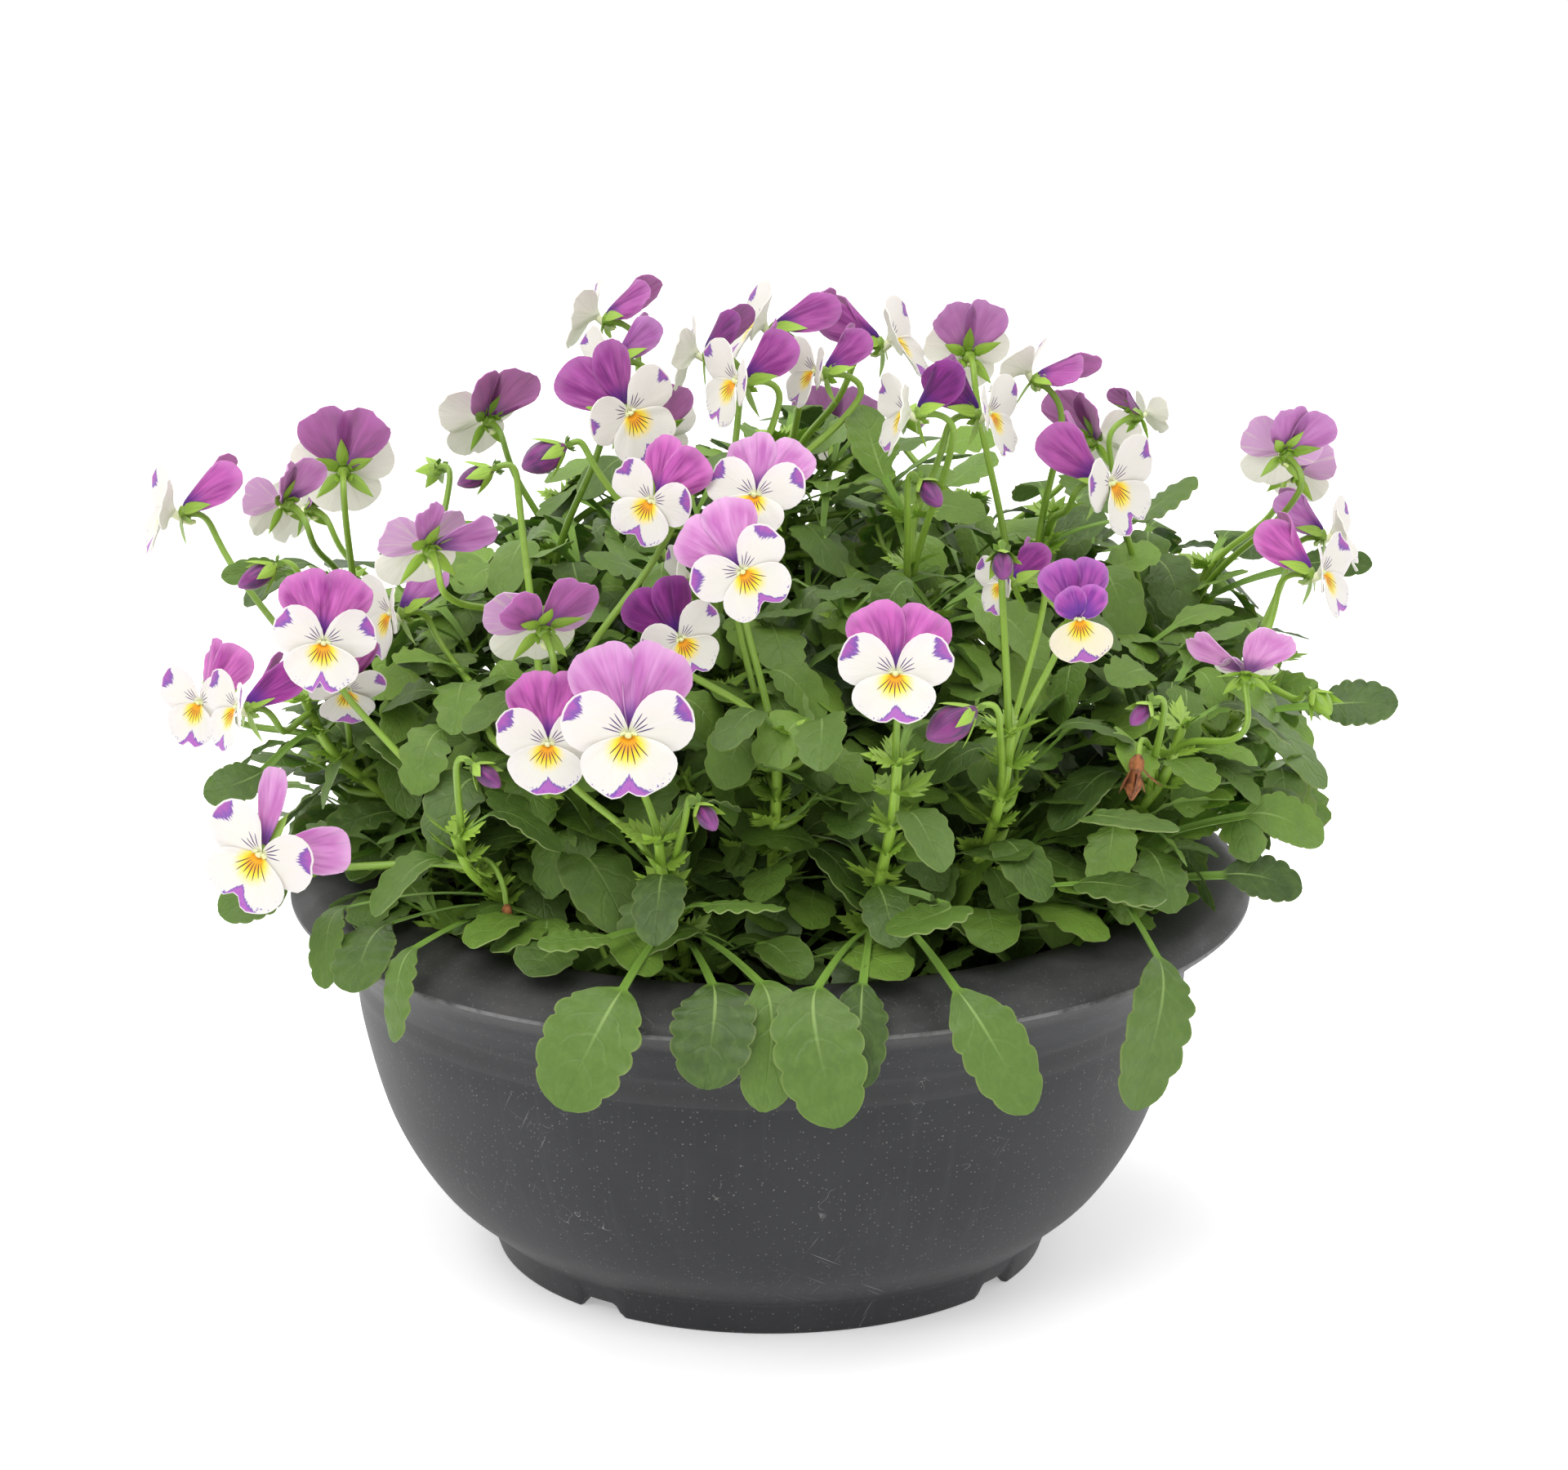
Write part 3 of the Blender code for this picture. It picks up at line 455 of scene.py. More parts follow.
def rounded(corners, radii, steps=4):
    """Open line whose inner corners become short curves: a quadratic from one side to the other."""
    corners = np.array(corners, dtype=float)
    before, at, after = corners[:-2], corners[1:-1], corners[2:]
    reach = np.minimum(np.linalg.norm(at - before, axis=1), np.linalg.norm(after - at, axis=1)) * 0.45
    reach = np.minimum(reach, radii)[:, None]
    enter, leave = at + unit(before - at) * reach, at + unit(after - at) * reach
    t = np.linspace(0, 1, steps + 1)[None, :, None]
    bends = (1 - t) ** 2 * enter[:, None] + 2 * t * (1 - t) * at[:, None] + t ** 2 * leave[:, None]
    return np.concatenate([corners[:1], bends.reshape(-1, 2), corners[-1:]])


def inner_wall():
    """The outer wall's line set in by the wall's thickness, from the lip down to the floor."""
    line = np.array(BOWL_WALL, dtype=float)
    steps = np.gradient(line, axis=0)
    inward = np.stack([-steps[:, 1], steps[:, 0]], axis=1)
    inward /= np.linalg.norm(inward, axis=1)[:, None]
    inside = line + inward * WALL
    lip = (BOWL_WALL[-1][0] + 0.2, BOWL_WALL[-1][1] - WALL)
    return [lip] + [tuple(inside[k]) for k in INNER_FOLLOWS]


def bowl_section():
    """Closed section from the middle of the underside, round the outside, to the middle of the floor."""
    foot = rounded([(60, FLOOR_UNDER), (FOOT_INNER, FLOOR_UNDER), (FOOT_INNER + 1, 0), BOWL_WALL[0],
                    BOWL_WALL[1], BOWL_WALL[2], (85.5, 13.0)], np.array([1.5, 0.8, 1.0, 0.9, 0.9]))
    wall = spline(BOWL_WALL[2:7], 12)[4:-1]
    wall = wall[wall[:, 1] < NECK - 3.0]
    # a faint step of the mould runs round the wall below the neck
    wall[:, 0] += STEP_DEPTH * smooth_step(STEP_LINE - 0.5, STEP_LINE + 0.5, wall[:, 1])
    neck = [(117.0, NECK - 2.4), (117.9, NECK + 0.2), (120.6, 91.9)]
    flare = spline(neck + [BOWL_WALL[7], BOWL_WALL[8]], 5)[1:-1]
    edge = rounded([(133.8, 104.4), BOWL_WALL[8], (134.9, 106.7)], np.array([0.45]), 4)
    crown = [(133.9, 108.3), (132, 109.8), BOWL_WALL[10], BOWL_WALL[11], (113, 113.75)]
    collar = spline([edge[-1]] + crown, 6)[1:]
    lip = rounded([(113, 113.75), BOWL_WALL[12], inner_wall()[0], (115, 110.6)], np.array([1.2, 1.2]))[1:]
    inside = spline(inner_wall()[1:], 4)
    floor = rounded([inside[-1], (80, FLOOR_TOP), (60, FLOOR_TOP)], np.array([6.0]))[1:]
    ends = [np.array([[20, FLOOR_UNDER], [40, FLOOR_UNDER]]), np.array([[40, FLOOR_TOP], [20, FLOOR_TOP]])]
    return np.concatenate([ends[0], foot, wall, flare, edge, collar, lip, inside, floor, ends[1]])


section = bowl_section()
print("section points", len(section), "widest radius", round(section[:, 0].max(), 2))

# %% [markdown]
# The foot ring has four low notches that let water drain away. They are part of the same array:
# wherever the ring's lowest edge passes a notch, its points are lifted to the notch's roof, with
# sloping ends. The section is carried round in one-degree steps so that the slopes come out crisp.
# %% Carry the section round and lift the notches
TURNS = 360
NOTCH_AZIMUTHS = [53, 143, 233, 323]
NOTCH_WIDTH, NOTCH_FLARE, NOTCH_HEIGHT = 16, 3, 4


def notch_roof(azimuths):
    """Height of the foot's lowest edge: 0, or the roof inside a notch, with straight slopes."""
    off = (azimuths[:, None] - np.array(NOTCH_AZIMUTHS) + 180) % 360 - 180
    reach = np.abs(np.radians(off)).min(axis=1) * BOWL_WALL[0][0]
    return NOTCH_HEIGHT * np.clip((NOTCH_WIDTH / 2 - reach) / NOTCH_FLARE, 0, 1)


def turned_body(section, turns, roof=None):
    """Closed body of revolution: rings of the section, with pole points on the axis at both ends."""
    azimuths = np.arange(turns) * 360 / turns
    a = np.radians(azimuths)
    radius, height = section[:, 0][:, None], np.repeat(section[:, 1][:, None], turns, axis=1)
    if roof is not None:
        low = (section[:, 1] < NOTCH_HEIGHT) & (section[:, 0] < 81)
        height[low] = np.maximum(height[low], roof(azimuths)[None, :])
    rings = np.stack([radius * np.cos(a), radius * np.sin(a), height], axis=-1)
    poles = np.array([[0, 0, section[0, 1]], [0, 0, section[-1, 1]]])
    run = np.concatenate([[0], np.cumsum(np.linalg.norm(np.diff(section, axis=0), axis=1))])
    return part(*closed_rings(rings, poles, run / run[-1]))


print("the foot's edge, from beside a notch to its middle:", notch_roof(NOTCH_AZIMUTHS[0] + vec(7, 5, 0)))

# %% [markdown]
# The plastic is a dark, slightly bluish grey with a fine moulded grain. It is not clean: pale
# specks of dust and compost cling to it, thickest on the collar, and short scratches run in all
# directions. The outer edge of the rim carries a light line, a painted highlight broken up by
# scuffs, and the collar is painted paler than the wall, as lit from above. All of this is read
# from the place on the bowl, so it does not repeat.
# %% Moulded plastic with dust, scuffs and scratches
MEAN_RADIUS = 0.115             # metres; turns an angle round the wall into a way along it


def bowl_plastic():
    """Anthracite plus dust specks, broad cloudiness, scratches, a painted highlight with scuffs on the rim
    edge, a collar painted paler.
    """
    net = Net("anthracite_plastic", rough=0.5, Specular_IOR_Level=0.3)
    place = net.place()
    x, y, z = net.split(place)
    radius = net.math("SQRT", x * x + y * y)
    cloud = net.noise(place, 22.0, 5.0, 0.6)
    grain = net.noise(place, 900.0, 3.0, 0.6)
    colour = net.mix(net.step(cloud, 0.3, 0.7), hue(32, 33, 35), hue(41, 42, 44))
    # water marks: tall faint streaks that follow the wall down
    around = net.math("ARCTAN2", y, x)
    streak = net.noise(net.join(around * 9.0, z * 5.0), 3.0, 3.0, 0.6)
    colour = net.mix(net.step(streak, 0.52, 0.75) * 0.15, colour, hue(68, 68, 70))
    on_collar = net.step(z, 0.0985, 0.104)
    # specks of dust: ragged spots in the few cells whose chance is high, more of them on the collar
    for scale, size, rarity in ((520.0, 0.14, 0.92), (1000.0, 0.28, 0.72)):
        distance, chances = net.cells(place, scale)
        ragged = distance + (grain - 0.5) * 0.5
        wanted = net.math("GREATER_THAN", chances[0], rarity - on_collar * 0.22)
        speck = net.step(ragged, size, size * 0.35) * wanted
        colour = net.mix(speck * 0.24, colour, hue(176, 172, 166))
    # scratches: thin crests of a noise that is stretched along two slanting directions
    for turn, scale in ((0.5, 30.0), (2.1, 42.0)):
        along_z, along_arc = float(np.cos(turn)), float(np.sin(turn))
        across = z * along_z + around * (MEAN_RADIUS * along_arc)
        down = around * (MEAN_RADIUS * along_z) - z * along_arc
        lines = net.noise(net.join(across * 60.0, down * 1.6), scale, 1.0, 0.4)
        patch = net.step(net.noise(place, 34.0, 1.0), 0.56, 0.7)
        scratch = net.step(lines, 0.7, 0.78) * patch
        colour = net.mix(scratch * 0.55, colour, hue(150, 148, 146))
    # curly scratches: where a noise passes its middle value
    bent = net.math("ABSOLUTE", net.noise(place, 210.0, 1.0) - 0.5)
    squiggle = net.step(bent, 0.009, 0.003) * net.step(net.noise(place, 60.0, 2.0), 0.66, 0.7)
    colour = net.mix(squiggle * 0.55, colour, hue(150, 149, 146))
    # a light line along the outer edge of the rim, a painted highlight broken up by scuffs, and a paler band
    # under the neck
    out = radius - BOWL_WALL[8][0] * MM
    up = z - (BOWL_WALL[8][1] + 0.3) * MM
    # painted highlight: a thin light line along the rim's outer edge, broken up by noise as scuffs
    edge = net.step(net.math("SQRT", out * out + up * up), 0.0008, 0.0004)
    painted_edge_highlight_and_scuff = edge * net.step(net.noise(place, 120.0, 4.0, 0.7), 0.3, 0.6)
    colour = net.mix(painted_edge_highlight_and_scuff * 0.7, colour, hue(150, 150, 149))
    # a paler band from the mould's step up to the neck
    band = net.step(z, 0.08, 0.0806) * net.step(z, 0.0885, 0.087)
    colour = net.mix(band * 0.35, colour, hue(62, 62, 63))
    # the collar is painted paler, as lit from above, with a film of dust and a brown stain where it meets the
    # soil
    film = on_collar * net.step(net.noise(place, 48.0, 5.0, 0.7), 0.36, 0.7)
    # painted light: the collar's top lighter than the wall
    colour = net.mix(on_collar * 0.45, colour, hue(72, 72, 71))
    colour = net.mix(film * 0.35, colour, hue(88, 86, 84))
    soil_line = net.step(radius, 0.117, 0.112) * on_collar
    colour = net.mix(soil_line * 0.5, colour, hue(50, 42, 36))
    net.bump(grain * 0.8 + cloud * 0.5, 0.18, 0.0004)
    rough = 0.42 + (cloud * 0.16 + film * 0.2)
    return net.done(colour, rough)


plastic = bowl_plastic()
bowl = build_piece("planter_bowl", [turned_body(section, TURNS, notch_roof)], [plastic],
                   "bowl_plastic", ("bowl",), smooth=35)
print("bowl triangles", made["planter_bowl"])

# %% [markdown]
# Four drain holes go through the raised floor. They are too few to be worth a formula: a plain
# Boolean with four short bars is clearer, and it is applied at once.
# %% Drain holes
DRAIN_RING, DRAIN_RADIUS, DRAIN_COUNT = 52, 4.5, 4


def drill(target, bars):
    """Cuts closed bars out of a piece by one exact Boolean, then removes the bars."""
    group = bpy.data.collections.new("drills")
    bpy.context.scene.collection.children.link(group)
    for points, faces in bars:
        mesh = bpy.data.meshes.new("drill")
        mesh.from_pydata((np.asarray(points) * MM).tolist(), [], faces)
        group.objects.link(bpy.data.objects.new("drill", mesh))
    step = target.modifiers.new("drill", "BOOLEAN")
    step.operation, step.solver = "DIFFERENCE", "EXACT"
    step.operand_type, step.collection = "COLLECTION", group
    drilled = target.evaluated_get(bpy.context.evaluated_depsgraph_get())
    result = bpy.data.meshes.new_from_object(drilled)
    target.modifiers.clear()
    target.data = result
    for cutter in list(group.objects):
        bpy.data.objects.remove(cutter)
    bpy.data.collections.remove(group)


def upright(x, y, radius, low, high, sides):
    """Closed upright bar: two rings and their caps."""
    a = 2 * np.pi * np.arange(sides) / sides
    ring = np.stack([x + radius * np.cos(a), y + radius * np.sin(a)], axis=1)
    points = [(*p, low) for p in ring] + [(*p, high) for p in ring]
    faces = [(k, (k + 1) % sides, sides + (k + 1) % sides, sides + k) for k in range(sides)]
    return points, faces + [tuple(reversed(range(sides))), tuple(range(sides, 2 * sides))]


drains = [turned(360 * k / DRAIN_COUNT) * DRAIN_RING for k in range(DRAIN_COUNT)]
drill(bowl, [upright(x, y, DRAIN_RADIUS, FLOOR_UNDER - 2, FLOOR_TOP + 2, 24) for x, y, _ in drains])
print("bowl faces after drilling", len(bowl.data.polygons))

# %% [markdown]
# ## The soil
# The bowl is filled to a finger's breadth under the collar with dark peat. Peat is crumbs upon
# crumbs: the surface is raised by four sizes of bumps (products of sines turned by different angles)
# and the shader adds fibres, dry flecks and a colour that is darker where its own bump sinks. A
# Displace modifier could raise the same bumps, but in a formula they can also fade out at the bowl's wall.
# %% Crumbly peat
SOIL_TOP, SOIL_GAP = 98, 0.5
SOIL_RINGS, SOIL_TURNS = 64, 160


def crumbs(x, y):
    """Height of the crumbs: for four sizes, the product of two sines along turned axes."""
    height = np.zeros_like(x)
    for size, tall, turn in ((16, 1.1, 0.3), (7.3, 0.9, 1.1), (3.7, 0.7, 2.0), (2.1, 0.4, 0.8)):
        a = (x * np.cos(turn) + y * np.sin(turn)) * 2 * np.pi / size
        b = (y * np.cos(turn) - x * np.sin(turn)) * 2 * np.pi / size
        height += tall * np.sin(a + 1.7 * np.sin(b * 0.61)) * np.sin(b + 1.3 * np.sin(a * 0.53))
    return height


def soil_body():
    """Closed fill of the bowl: the inner wall set in by a gap, and a bumpy top as one section."""
    wall = [(r, z) for r, z in inner_wall() if z < SOIL_TOP - 4]
    side = [(r - SOIL_GAP, z) for r, z in reversed(wall)]
    under = [(20, FLOOR_TOP + SOIL_GAP), (79, FLOOR_TOP + SOIL_GAP)] + side + [(116.4, SOIL_TOP - 4)]
    r = np.linspace(116, 2, SOIL_RINGS)
    top = np.stack([r, SOIL_TOP - 2.2 * (r / 116) ** 4], axis=1)
    body = turned_body(np.concatenate([np.array(under, dtype=float), top]), SOIL_TURNS)
    points = body["points"]
    radius = np.hypot(points[:, 0], points[:, 1])
    on_top = points[:, 2] > SOIL_TOP - 3.5
    lift = crumbs(points[:, 0], points[:, 1]) * smooth_step(116, 112, radius)
    points[:, 2] += np.where(on_top, lift, 0)
    return body


def peat():
    """Dark brown, darker where the bump sinks, with fibres and a few pale flecks."""
    net = Net("peat", rough=0.95, Specular_IOR_Level=0.2)
    place = net.place()
    lumps = net.noise(place, 260.0, 6.0, 0.7)
    # the colour follows the bump: darker where it sinks, lighter where it rises
    colour = net.mix(net.step(lumps, 0.35, 0.68), hue(26, 19, 14), hue(74, 56, 42))
    fibre = net.noise(net.stretch(place, (1600.0, 180.0, 300.0)), 1.0, 2.0, 0.6)
    colour = net.mix(net.step(fibre, 0.62, 0.74) * 0.5, colour, hue(112, 86, 60))
    distance, chances = net.cells(place, 330.0)
    fleck = net.step(distance, 0.32, 0.18) * net.math("GREATER_THAN", chances[1], 0.95)
    colour = net.mix(fleck * 0.7, colour, hue(176, 164, 146))
    net.bump(lumps, 0.9, 0.0015)
    return net.done(colour)


build_piece("peat_surface", [soil_body()], [peat()], "soil", ("soil",), smooth=80)
print("soil triangles", made["peat_surface"])

# %% [markdown]
# ## The planting plan
# Where everything grows is a plan, shared with the solids: thirteen stems in the soil, some with
# a branch, each bloom with the place of its throat, the way it looks, how far it is turned, its
# size and how far its upper petals sweep back. Buds and the larger leaves have their own lines.
# All lengths are in millimetres and all angles in degrees.
# %% Stems, blooms, buds and large leaves
# leafy stems: place in the soil, then the tip of the main stem and of its branch
STEMS = {
    "stem_front": ((0, -66), [(2, -92, 176), (-16, -46, 212)]),
    "stem_front_right": ((26, -84), [(33, -106, 172)]),
    "stem_front_left": ((-22, -84), [(-29, -110, 152)]),
    "stem_left_front": ((-62, -62), [(-83, -92, 148), (-58, -84, 176)]),
    "stem_right_front": ((80, -50), [(110, -64, 170), (138, -22, 176)]),
    "stem_middle_right": ((52, -66), [(63, -92, 176)]),
    "stem_left": ((-84, -12), [(-126, -40, 170), (-120, 18, 188)]),
    "stem_heart": ((34, -22), [(38, -36, 220), (78, -2, 212)]),
    "stem_heart_left": ((-46, 4), [(-62, -12, 204), (-34, 18, 218)]),
    "stem_right": ((80, 36), [(124, 34, 188), (112, 88, 162)]),
    "stem_back": ((0, 40), [(4, 44, 222), (8, 118, 172)]),
    "stem_back_left": ((-62, 64), [(-60, 86, 194), (-112, 80, 164)]),
    "stem_back_right": ((44, 72), [(58, 86, 194)]),
}

# blooms: stem, branch, place along it, throat, facing, pitch, roll, size, sweep, tint
BLOOMS = [
    ("stem_heart_left", 1, 0.80, (-48, 22, 263), 165, 15, 0, 0.75, 34, "purple"),
    ("stem_heart_left", 1, 0.92, (-44, -8, 257), 200, 8, 0, 0.66, 30, "orchid"),
    ("stem_heart_left", 0, 0.90, (-37, -50, 252), 305, 0, 25, 0.82, 20, "purple"),
    ("stem_front", 1, 0.82, (-20, -22, 262), 168, 5, 0, 0.70, 30, "dark"),
    ("stem_front", 1, 0.92, (-9, -48, 260), 205, 5, -10, 0.78, 28, "purple"),
    ("stem_back", 0, 0.80, (-2, -4, 266), 185, 24, 0, 0.85, 38, "purple"),
    ("stem_front", 1, 1.00, (12, -36, 260), 200, 10, 0, 0.68, 34, "purple"),
    ("stem_back", 0, 0.90, (33, 4, 260), 350, 20, 0, 0.85, 38, "purple"),
    ("stem_heart", 1, 0.72, (54, 14, 254), 100, 0, 0, 0.70, 18, "orchid"),
    ("stem_heart", 1, 0.86, (70, -8, 254), 155, 36, 0, 0.74, 30, "purple"),
    ("stem_heart", 0, 0.82, (36, -58, 254), 190, 5, 0, 0.76, 28, "dark"),
    ("stem_heart", 0, 0.95, (58, -42, 250), 340, 8, 0, 0.76, 30, "dark"),
    ("stem_heart", 1, 0.95, (91, -42, 231), 325, 2, 10, 0.90, 36, "purple"),
    ("stem_right", 0, 0.70, (104, 12, 238), 30, 10, 0, 0.45, 30, "dark"),
    ("stem_right", 0, 0.85, (141, 8, 228), 110, 10, 15, 0.74, 20, "orchid"),
    ("stem_right", 0, 0.95, (148, 38, 216), 62, 8, 0, 0.74, 20, "orchid"),
    ("stem_right_front", 1, 0.72, (157, 14, 203), 352, 10, 0, 0.74, 34, "orchid"),
    ("stem_right_front", 1, 0.84, (151, -14, 199), 340, 6, 0, 0.84, 36, "purple"),
    ("stem_right_front", 0, 0.90, (126, -70, 188), 82, 45, 0, 0.70, 14, "orchid"),
    ("stem_middle_right", 0, 0.88, (80, -95, 208), 283, -4, 0, 0.70, 16, "cream"),
    ("stem_middle_right", 0, 0.74, (61, -74, 212), 205, 0, 0, 0.55, 30, "dark"),
    ("stem_front_right", 0, 0.92, (32, -119, 200), 266, 26, 0, 0.87, 14, "purple"),
    ("stem_front", 1, 0.70, (-4, -84, 238), 250, 30, 0, 0.80, 12, "orchid"),
    ("stem_front", 0, 0.88, (-7, -108, 224), 275, 5, 35, 0.78, 12, "orchid"),
    ("stem_left_front", 1, 0.96, (-31, -82, 236), 240, 6, -20, 0.72, 16, "purple"),
    ("stem_front", 0, 0.98, (-23, -104, 205), 295, 0, 22, 0.68, 16, "dark"),
    ("stem_heart_left", 0, 0.80, (-91, -68, 221), 120, 20, 0, 0.95, 14, "orchid"),
    ("stem_left", 1, 0.82, (-118, 8, 223), 95, 0, 0, 0.84, 16, "purple"),
    ("stem_left", 1, 0.95, (-134, -14, 219), 138, 5, 0, 0.68, 18, "orchid"),
    ("stem_left", 0, 0.66, (-165, 0, 213), 190, 8, 0, 0.88, 38, "purple"),
    ("stem_left_front", 0, 0.70, (-117, -82, 198), 278, 5, -8, 0.80, 14, "purple"),
    ("stem_left_front", 1, 0.72, (-102, -42, 195), 205, 0, 0, 0.78, 30, "orchid"),
    ("stem_left", 0, 0.86, (-155, -38, 169), 228, 4, 0, 0.76, 26, "purple"),
    ("stem_left", 0, 0.95, (-141, -74, 178), 205, 6, 0, 0.76, 34, "dark"),
    ("stem_left", 0, 0.76, (-113, -60, 179), 282, -30, 0, 0.62, 20, "purple"),
    ("stem_left_front", 1, 0.86, (-60, -92, 206), 112, 24, 0, 0.95, 10, "purple"),
    ("stem_front_left", 0, 0.82, (-57, -118, 181), 262, 12, 0, 0.80, 12, "purple"),
    ("stem_front_left", 0, 0.95, (-36, -130, 187), 268, 12, 0, 1.00, 10, "orchid"),
    ("stem_front", 0, 0.76, (-22, -72, 214), 190, 0, 0, 0.56, 26, "dark"),
    ("stem_left_front", 0, 0.86, (-134, -98, 145), 248, 2, -24, 0.95, 12, "orchid"),
    ("stem_back_left", 0, 0.80, (-84, 92, 218), 128, 10, 0, 0.82, 18, "purple"),
    ("stem_back", 1, 0.85, (18, 122, 206), 88, 12, 10, 0.86, 14, "orchid"),
    ("stem_back_right", 0, 0.80, (96, 92, 212), 48, 8, 0, 0.80, 20, "purple"),
    ("stem_back_left", 0, 0.92, (-34, 116, 208), 104, 6, -12, 0.78, 16, "purple"),
    ("stem_back_left", 1, 0.88, (-136, 74, 196), 148, 8, 0, 0.76, 22, "orchid"),
]

# closed buds and green seed capsules: stem, branch, place along it, tip of the stalk, nod, length
BUDS = [
    ("stem_heart", 0, 0.75, (40, -62, 236), 300, 11),
    ("stem_middle_right", 0, 0.95, (60, -90, 224), 270, 11),
    ("stem_middle_right", 0, 0.82, (52, -118, 190), 200, 15),
    ("stem_front", 1, 0.76, (-52, -58, 244), 190, 13),
    ("stem_left_front", 1, 0.80, (-74, -52, 237), 170, 11),
    ("stem_left", 1, 0.88, (-134, -34, 206), 200, 12),
    ("stem_front_left", 0, 0.74, (-18, -124, 166), 300, 10),
    ("stem_left_front", 0, 0.92, (-76, -108, 172), 320, 10),
    ("stem_right_front", 0, 0.76, (98, -100, 186), 230, 9),
    ("stem_right_front", 1, 0.92, (146, -54, 176), 300, 12),
    ("stem_back_right", 0, 0.92, (40, 112, 214), 60, 12),
    ("stem_back_left", 1, 0.80, (-98, 104, 200), 120, 11),
]

# leaves with a place of their own: stem, branch, place along it, foot of the blade, tip, breadth
LEAVES = [
    ("stem_front_left", 0, 0.60, (-38, -131, 119), (-54, -144, 91), 26),
    ("stem_front_left", 0, 0.52, (-15, -127, 119), (-17, -143, 96), 23),
    ("stem_front_left", 0, 0.56, (-3, -128, 120), (-2, -141, 89), 18),
    ("stem_front_right", 0, 0.42, (11, -127, 118), (15, -145, 86), 24),
    ("stem_front_right", 0, 0.46, (24, -126, 119), (23, -141, 95), 15),
    ("stem_front_right", 0, 0.52, (48, -128, 118), (67, -142, 89), 20),
    ("stem_right_front", 0, 0.48, (102, -99, 117), (96, -113, 79), 22),
    ("stem_left_front", 0, 0.58, (-100, -86, 122), (-110, -102, 108), 20),
    ("stem_left_front", 0, 0.64, (-112, -78, 124), (-118, -93, 106), 12),
    ("stem_left_front", 0, 0.54, (-93, -100, 120), (-99, -110, 97), 12),
    ("stem_front_right", 0, 0.56, (46, -120, 138), (30, -130, 134), 20),
    ("stem_front_left", 0, 0.62, (-16, -120, 138), (4, -128, 140), 15),
    ("stem_front_left", 0, 0.52, (-42, -122, 130), (-60, -128, 130), 14),
    ("stem_right_front", 1, 0.80, (148, -38, 168), (170, -42, 170), 14),
    ("stem_right_front", 0, 0.50, (128, -54, 142), (150, -52, 134), 14),
    ("stem_right_front", 0, 0.36, (122, -60, 127), (144, -58, 122), 13),
    ("stem_right", 0, 0.90, (148, 34, 188), (170, 30, 190), 9),
    ("stem_right_front", 0, 0.60, (84, -100, 156), (106, -112, 156), 18),
    ("stem_middle_right", 0, 0.36, (80, -108, 140), (103, -116, 139), 20),
    ("stem_left", 0, 0.92, (-136, -58, 156), (-152, -62, 150), 12),
    ("stem_left", 0, 0.40, (-130, -66, 126), (-148, -72, 120), 13),
    ("stem_left", 1, 0.94, (-133, -10, 198), (-150, -18, 199), 8),
    ("stem_heart", 0, 0.97, (28, -38, 230), (20, -28, 247), 16),
    ("stem_heart", 1, 0.92, (98, -14, 214), (116, -10, 225), 15),
    ("stem_back", 1, 0.92, (12, 130, 168), (15, 151, 165), 15),
]
ROOT_DEPTH, STEM_RADIUS = 82.5, (1.9, 1.3)
BLADE, STALK_RADIUS, BUD_END = 0.7, 1.06, 0.03  # thickness, radius at the bend, radius by length
GOLDEN, TRIES = 137.5, 17       # turn from one try or leaf to the next, and how many tries there are
SEPAL_ROOT, SEPAL_LENGTH, STALK_END = 2.5, 9.5, 4.4
HOOK_BACK, HOOK_DROP = 8.0, 6.5
SEPAL_TRIES = (8, 14, 20, 28, 36)
LEAVES_BY_RULE, STALK_SHARE = (4, 3), 0.34
print("stems", len(STEMS), "blooms", len(BLOOMS), "buds", len(BUDS), "large leaves", len(LEAVES))

# %% [markdown]
# The plan also has a rule: a leaf, a stalk or a bud is tried in its first place, and where its
# solid would cross another plant's, it swings round until there is room. Which place it took can
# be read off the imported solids. A leaf's tip lies half a blade's thickness from a corner, the
# bend of a stalk and the end of a bud lie a bar's radius from one, and a sepal's tip is one.
# %% Find the places that were taken
def packed_corners(node):
    """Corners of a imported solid, in millimetres."""
    mesh = frame["nodes"][node].data
    points = np.empty(len(mesh.vertices) * 3)
    mesh.vertices.foreach_get("co", points)
    return points.reshape(-1, 3) / MM


corners = {node: packed_corners(node) for node in STEMS}


def taken(node, places, reach):
    """Number of the place whose distance from the solid's nearest corner comes closest to the reach."""
    gaps = [np.linalg.norm(corners[node] - place, axis=1).min() for place in places]
    return int(np.abs(np.array(gaps) - reach).argmin())


def stem_paths(root, tips):
    """Main stem straight out of its hole, then leaning to its tip; a branch leaves it low down."""
    base = vec(*root, ROOT_DEPTH)
    collar = vec(*root, SOIL_TOP + 4)
    paths = []
    for index, tip in enumerate(tips):
        start = collar if index == 0 else along(paths[0], 0.3)
        end = vec(*tip)
        rise = end[2] - start[2]
        bend = bezier(start, start + vec(0, 0, 0.4 * rise), end - vec(0, 0, 0.3 * rise), end, 5)
        paths.append(np.concatenate([[base], bend]) if index == 0 else bend)
    return paths


def hook_foot(back, forward):
    """Where a stalk starts to hook over: behind the back of its bloom or bud, and below it."""
    return back - forward * HOOK_BACK - vec(0, 0, HOOK_DROP)


def stalk_bend(root, back, forward, bulge):
    """Third point of four on a plain stalk, which bends from its root to the foot of its hook."""
    rise, below = back[2] - root[2], hook_foot(back, forward)
    start = root + vec(0, 0, 0.45 * rise) + bulge
    return bezier(root, start, below - vec(0, 0, 0.25 * rise), below, 4)[2]


def bloom_axes(facing, pitch, roll):
    """Right, up and forward of a bloom."""
    forward = turned(facing, pitch)
    right = unit(np.cross(vec(0, 0, 1), forward))
    up = np.cross(forward, right)
    r = np.radians(roll)
    return np.array([np.cos(r) * right + np.sin(r) * up, -np.sin(r) * right + np.cos(r) * up, forward])


print("corners of the stems' solids", sum(len(points) for points in corners.values()))

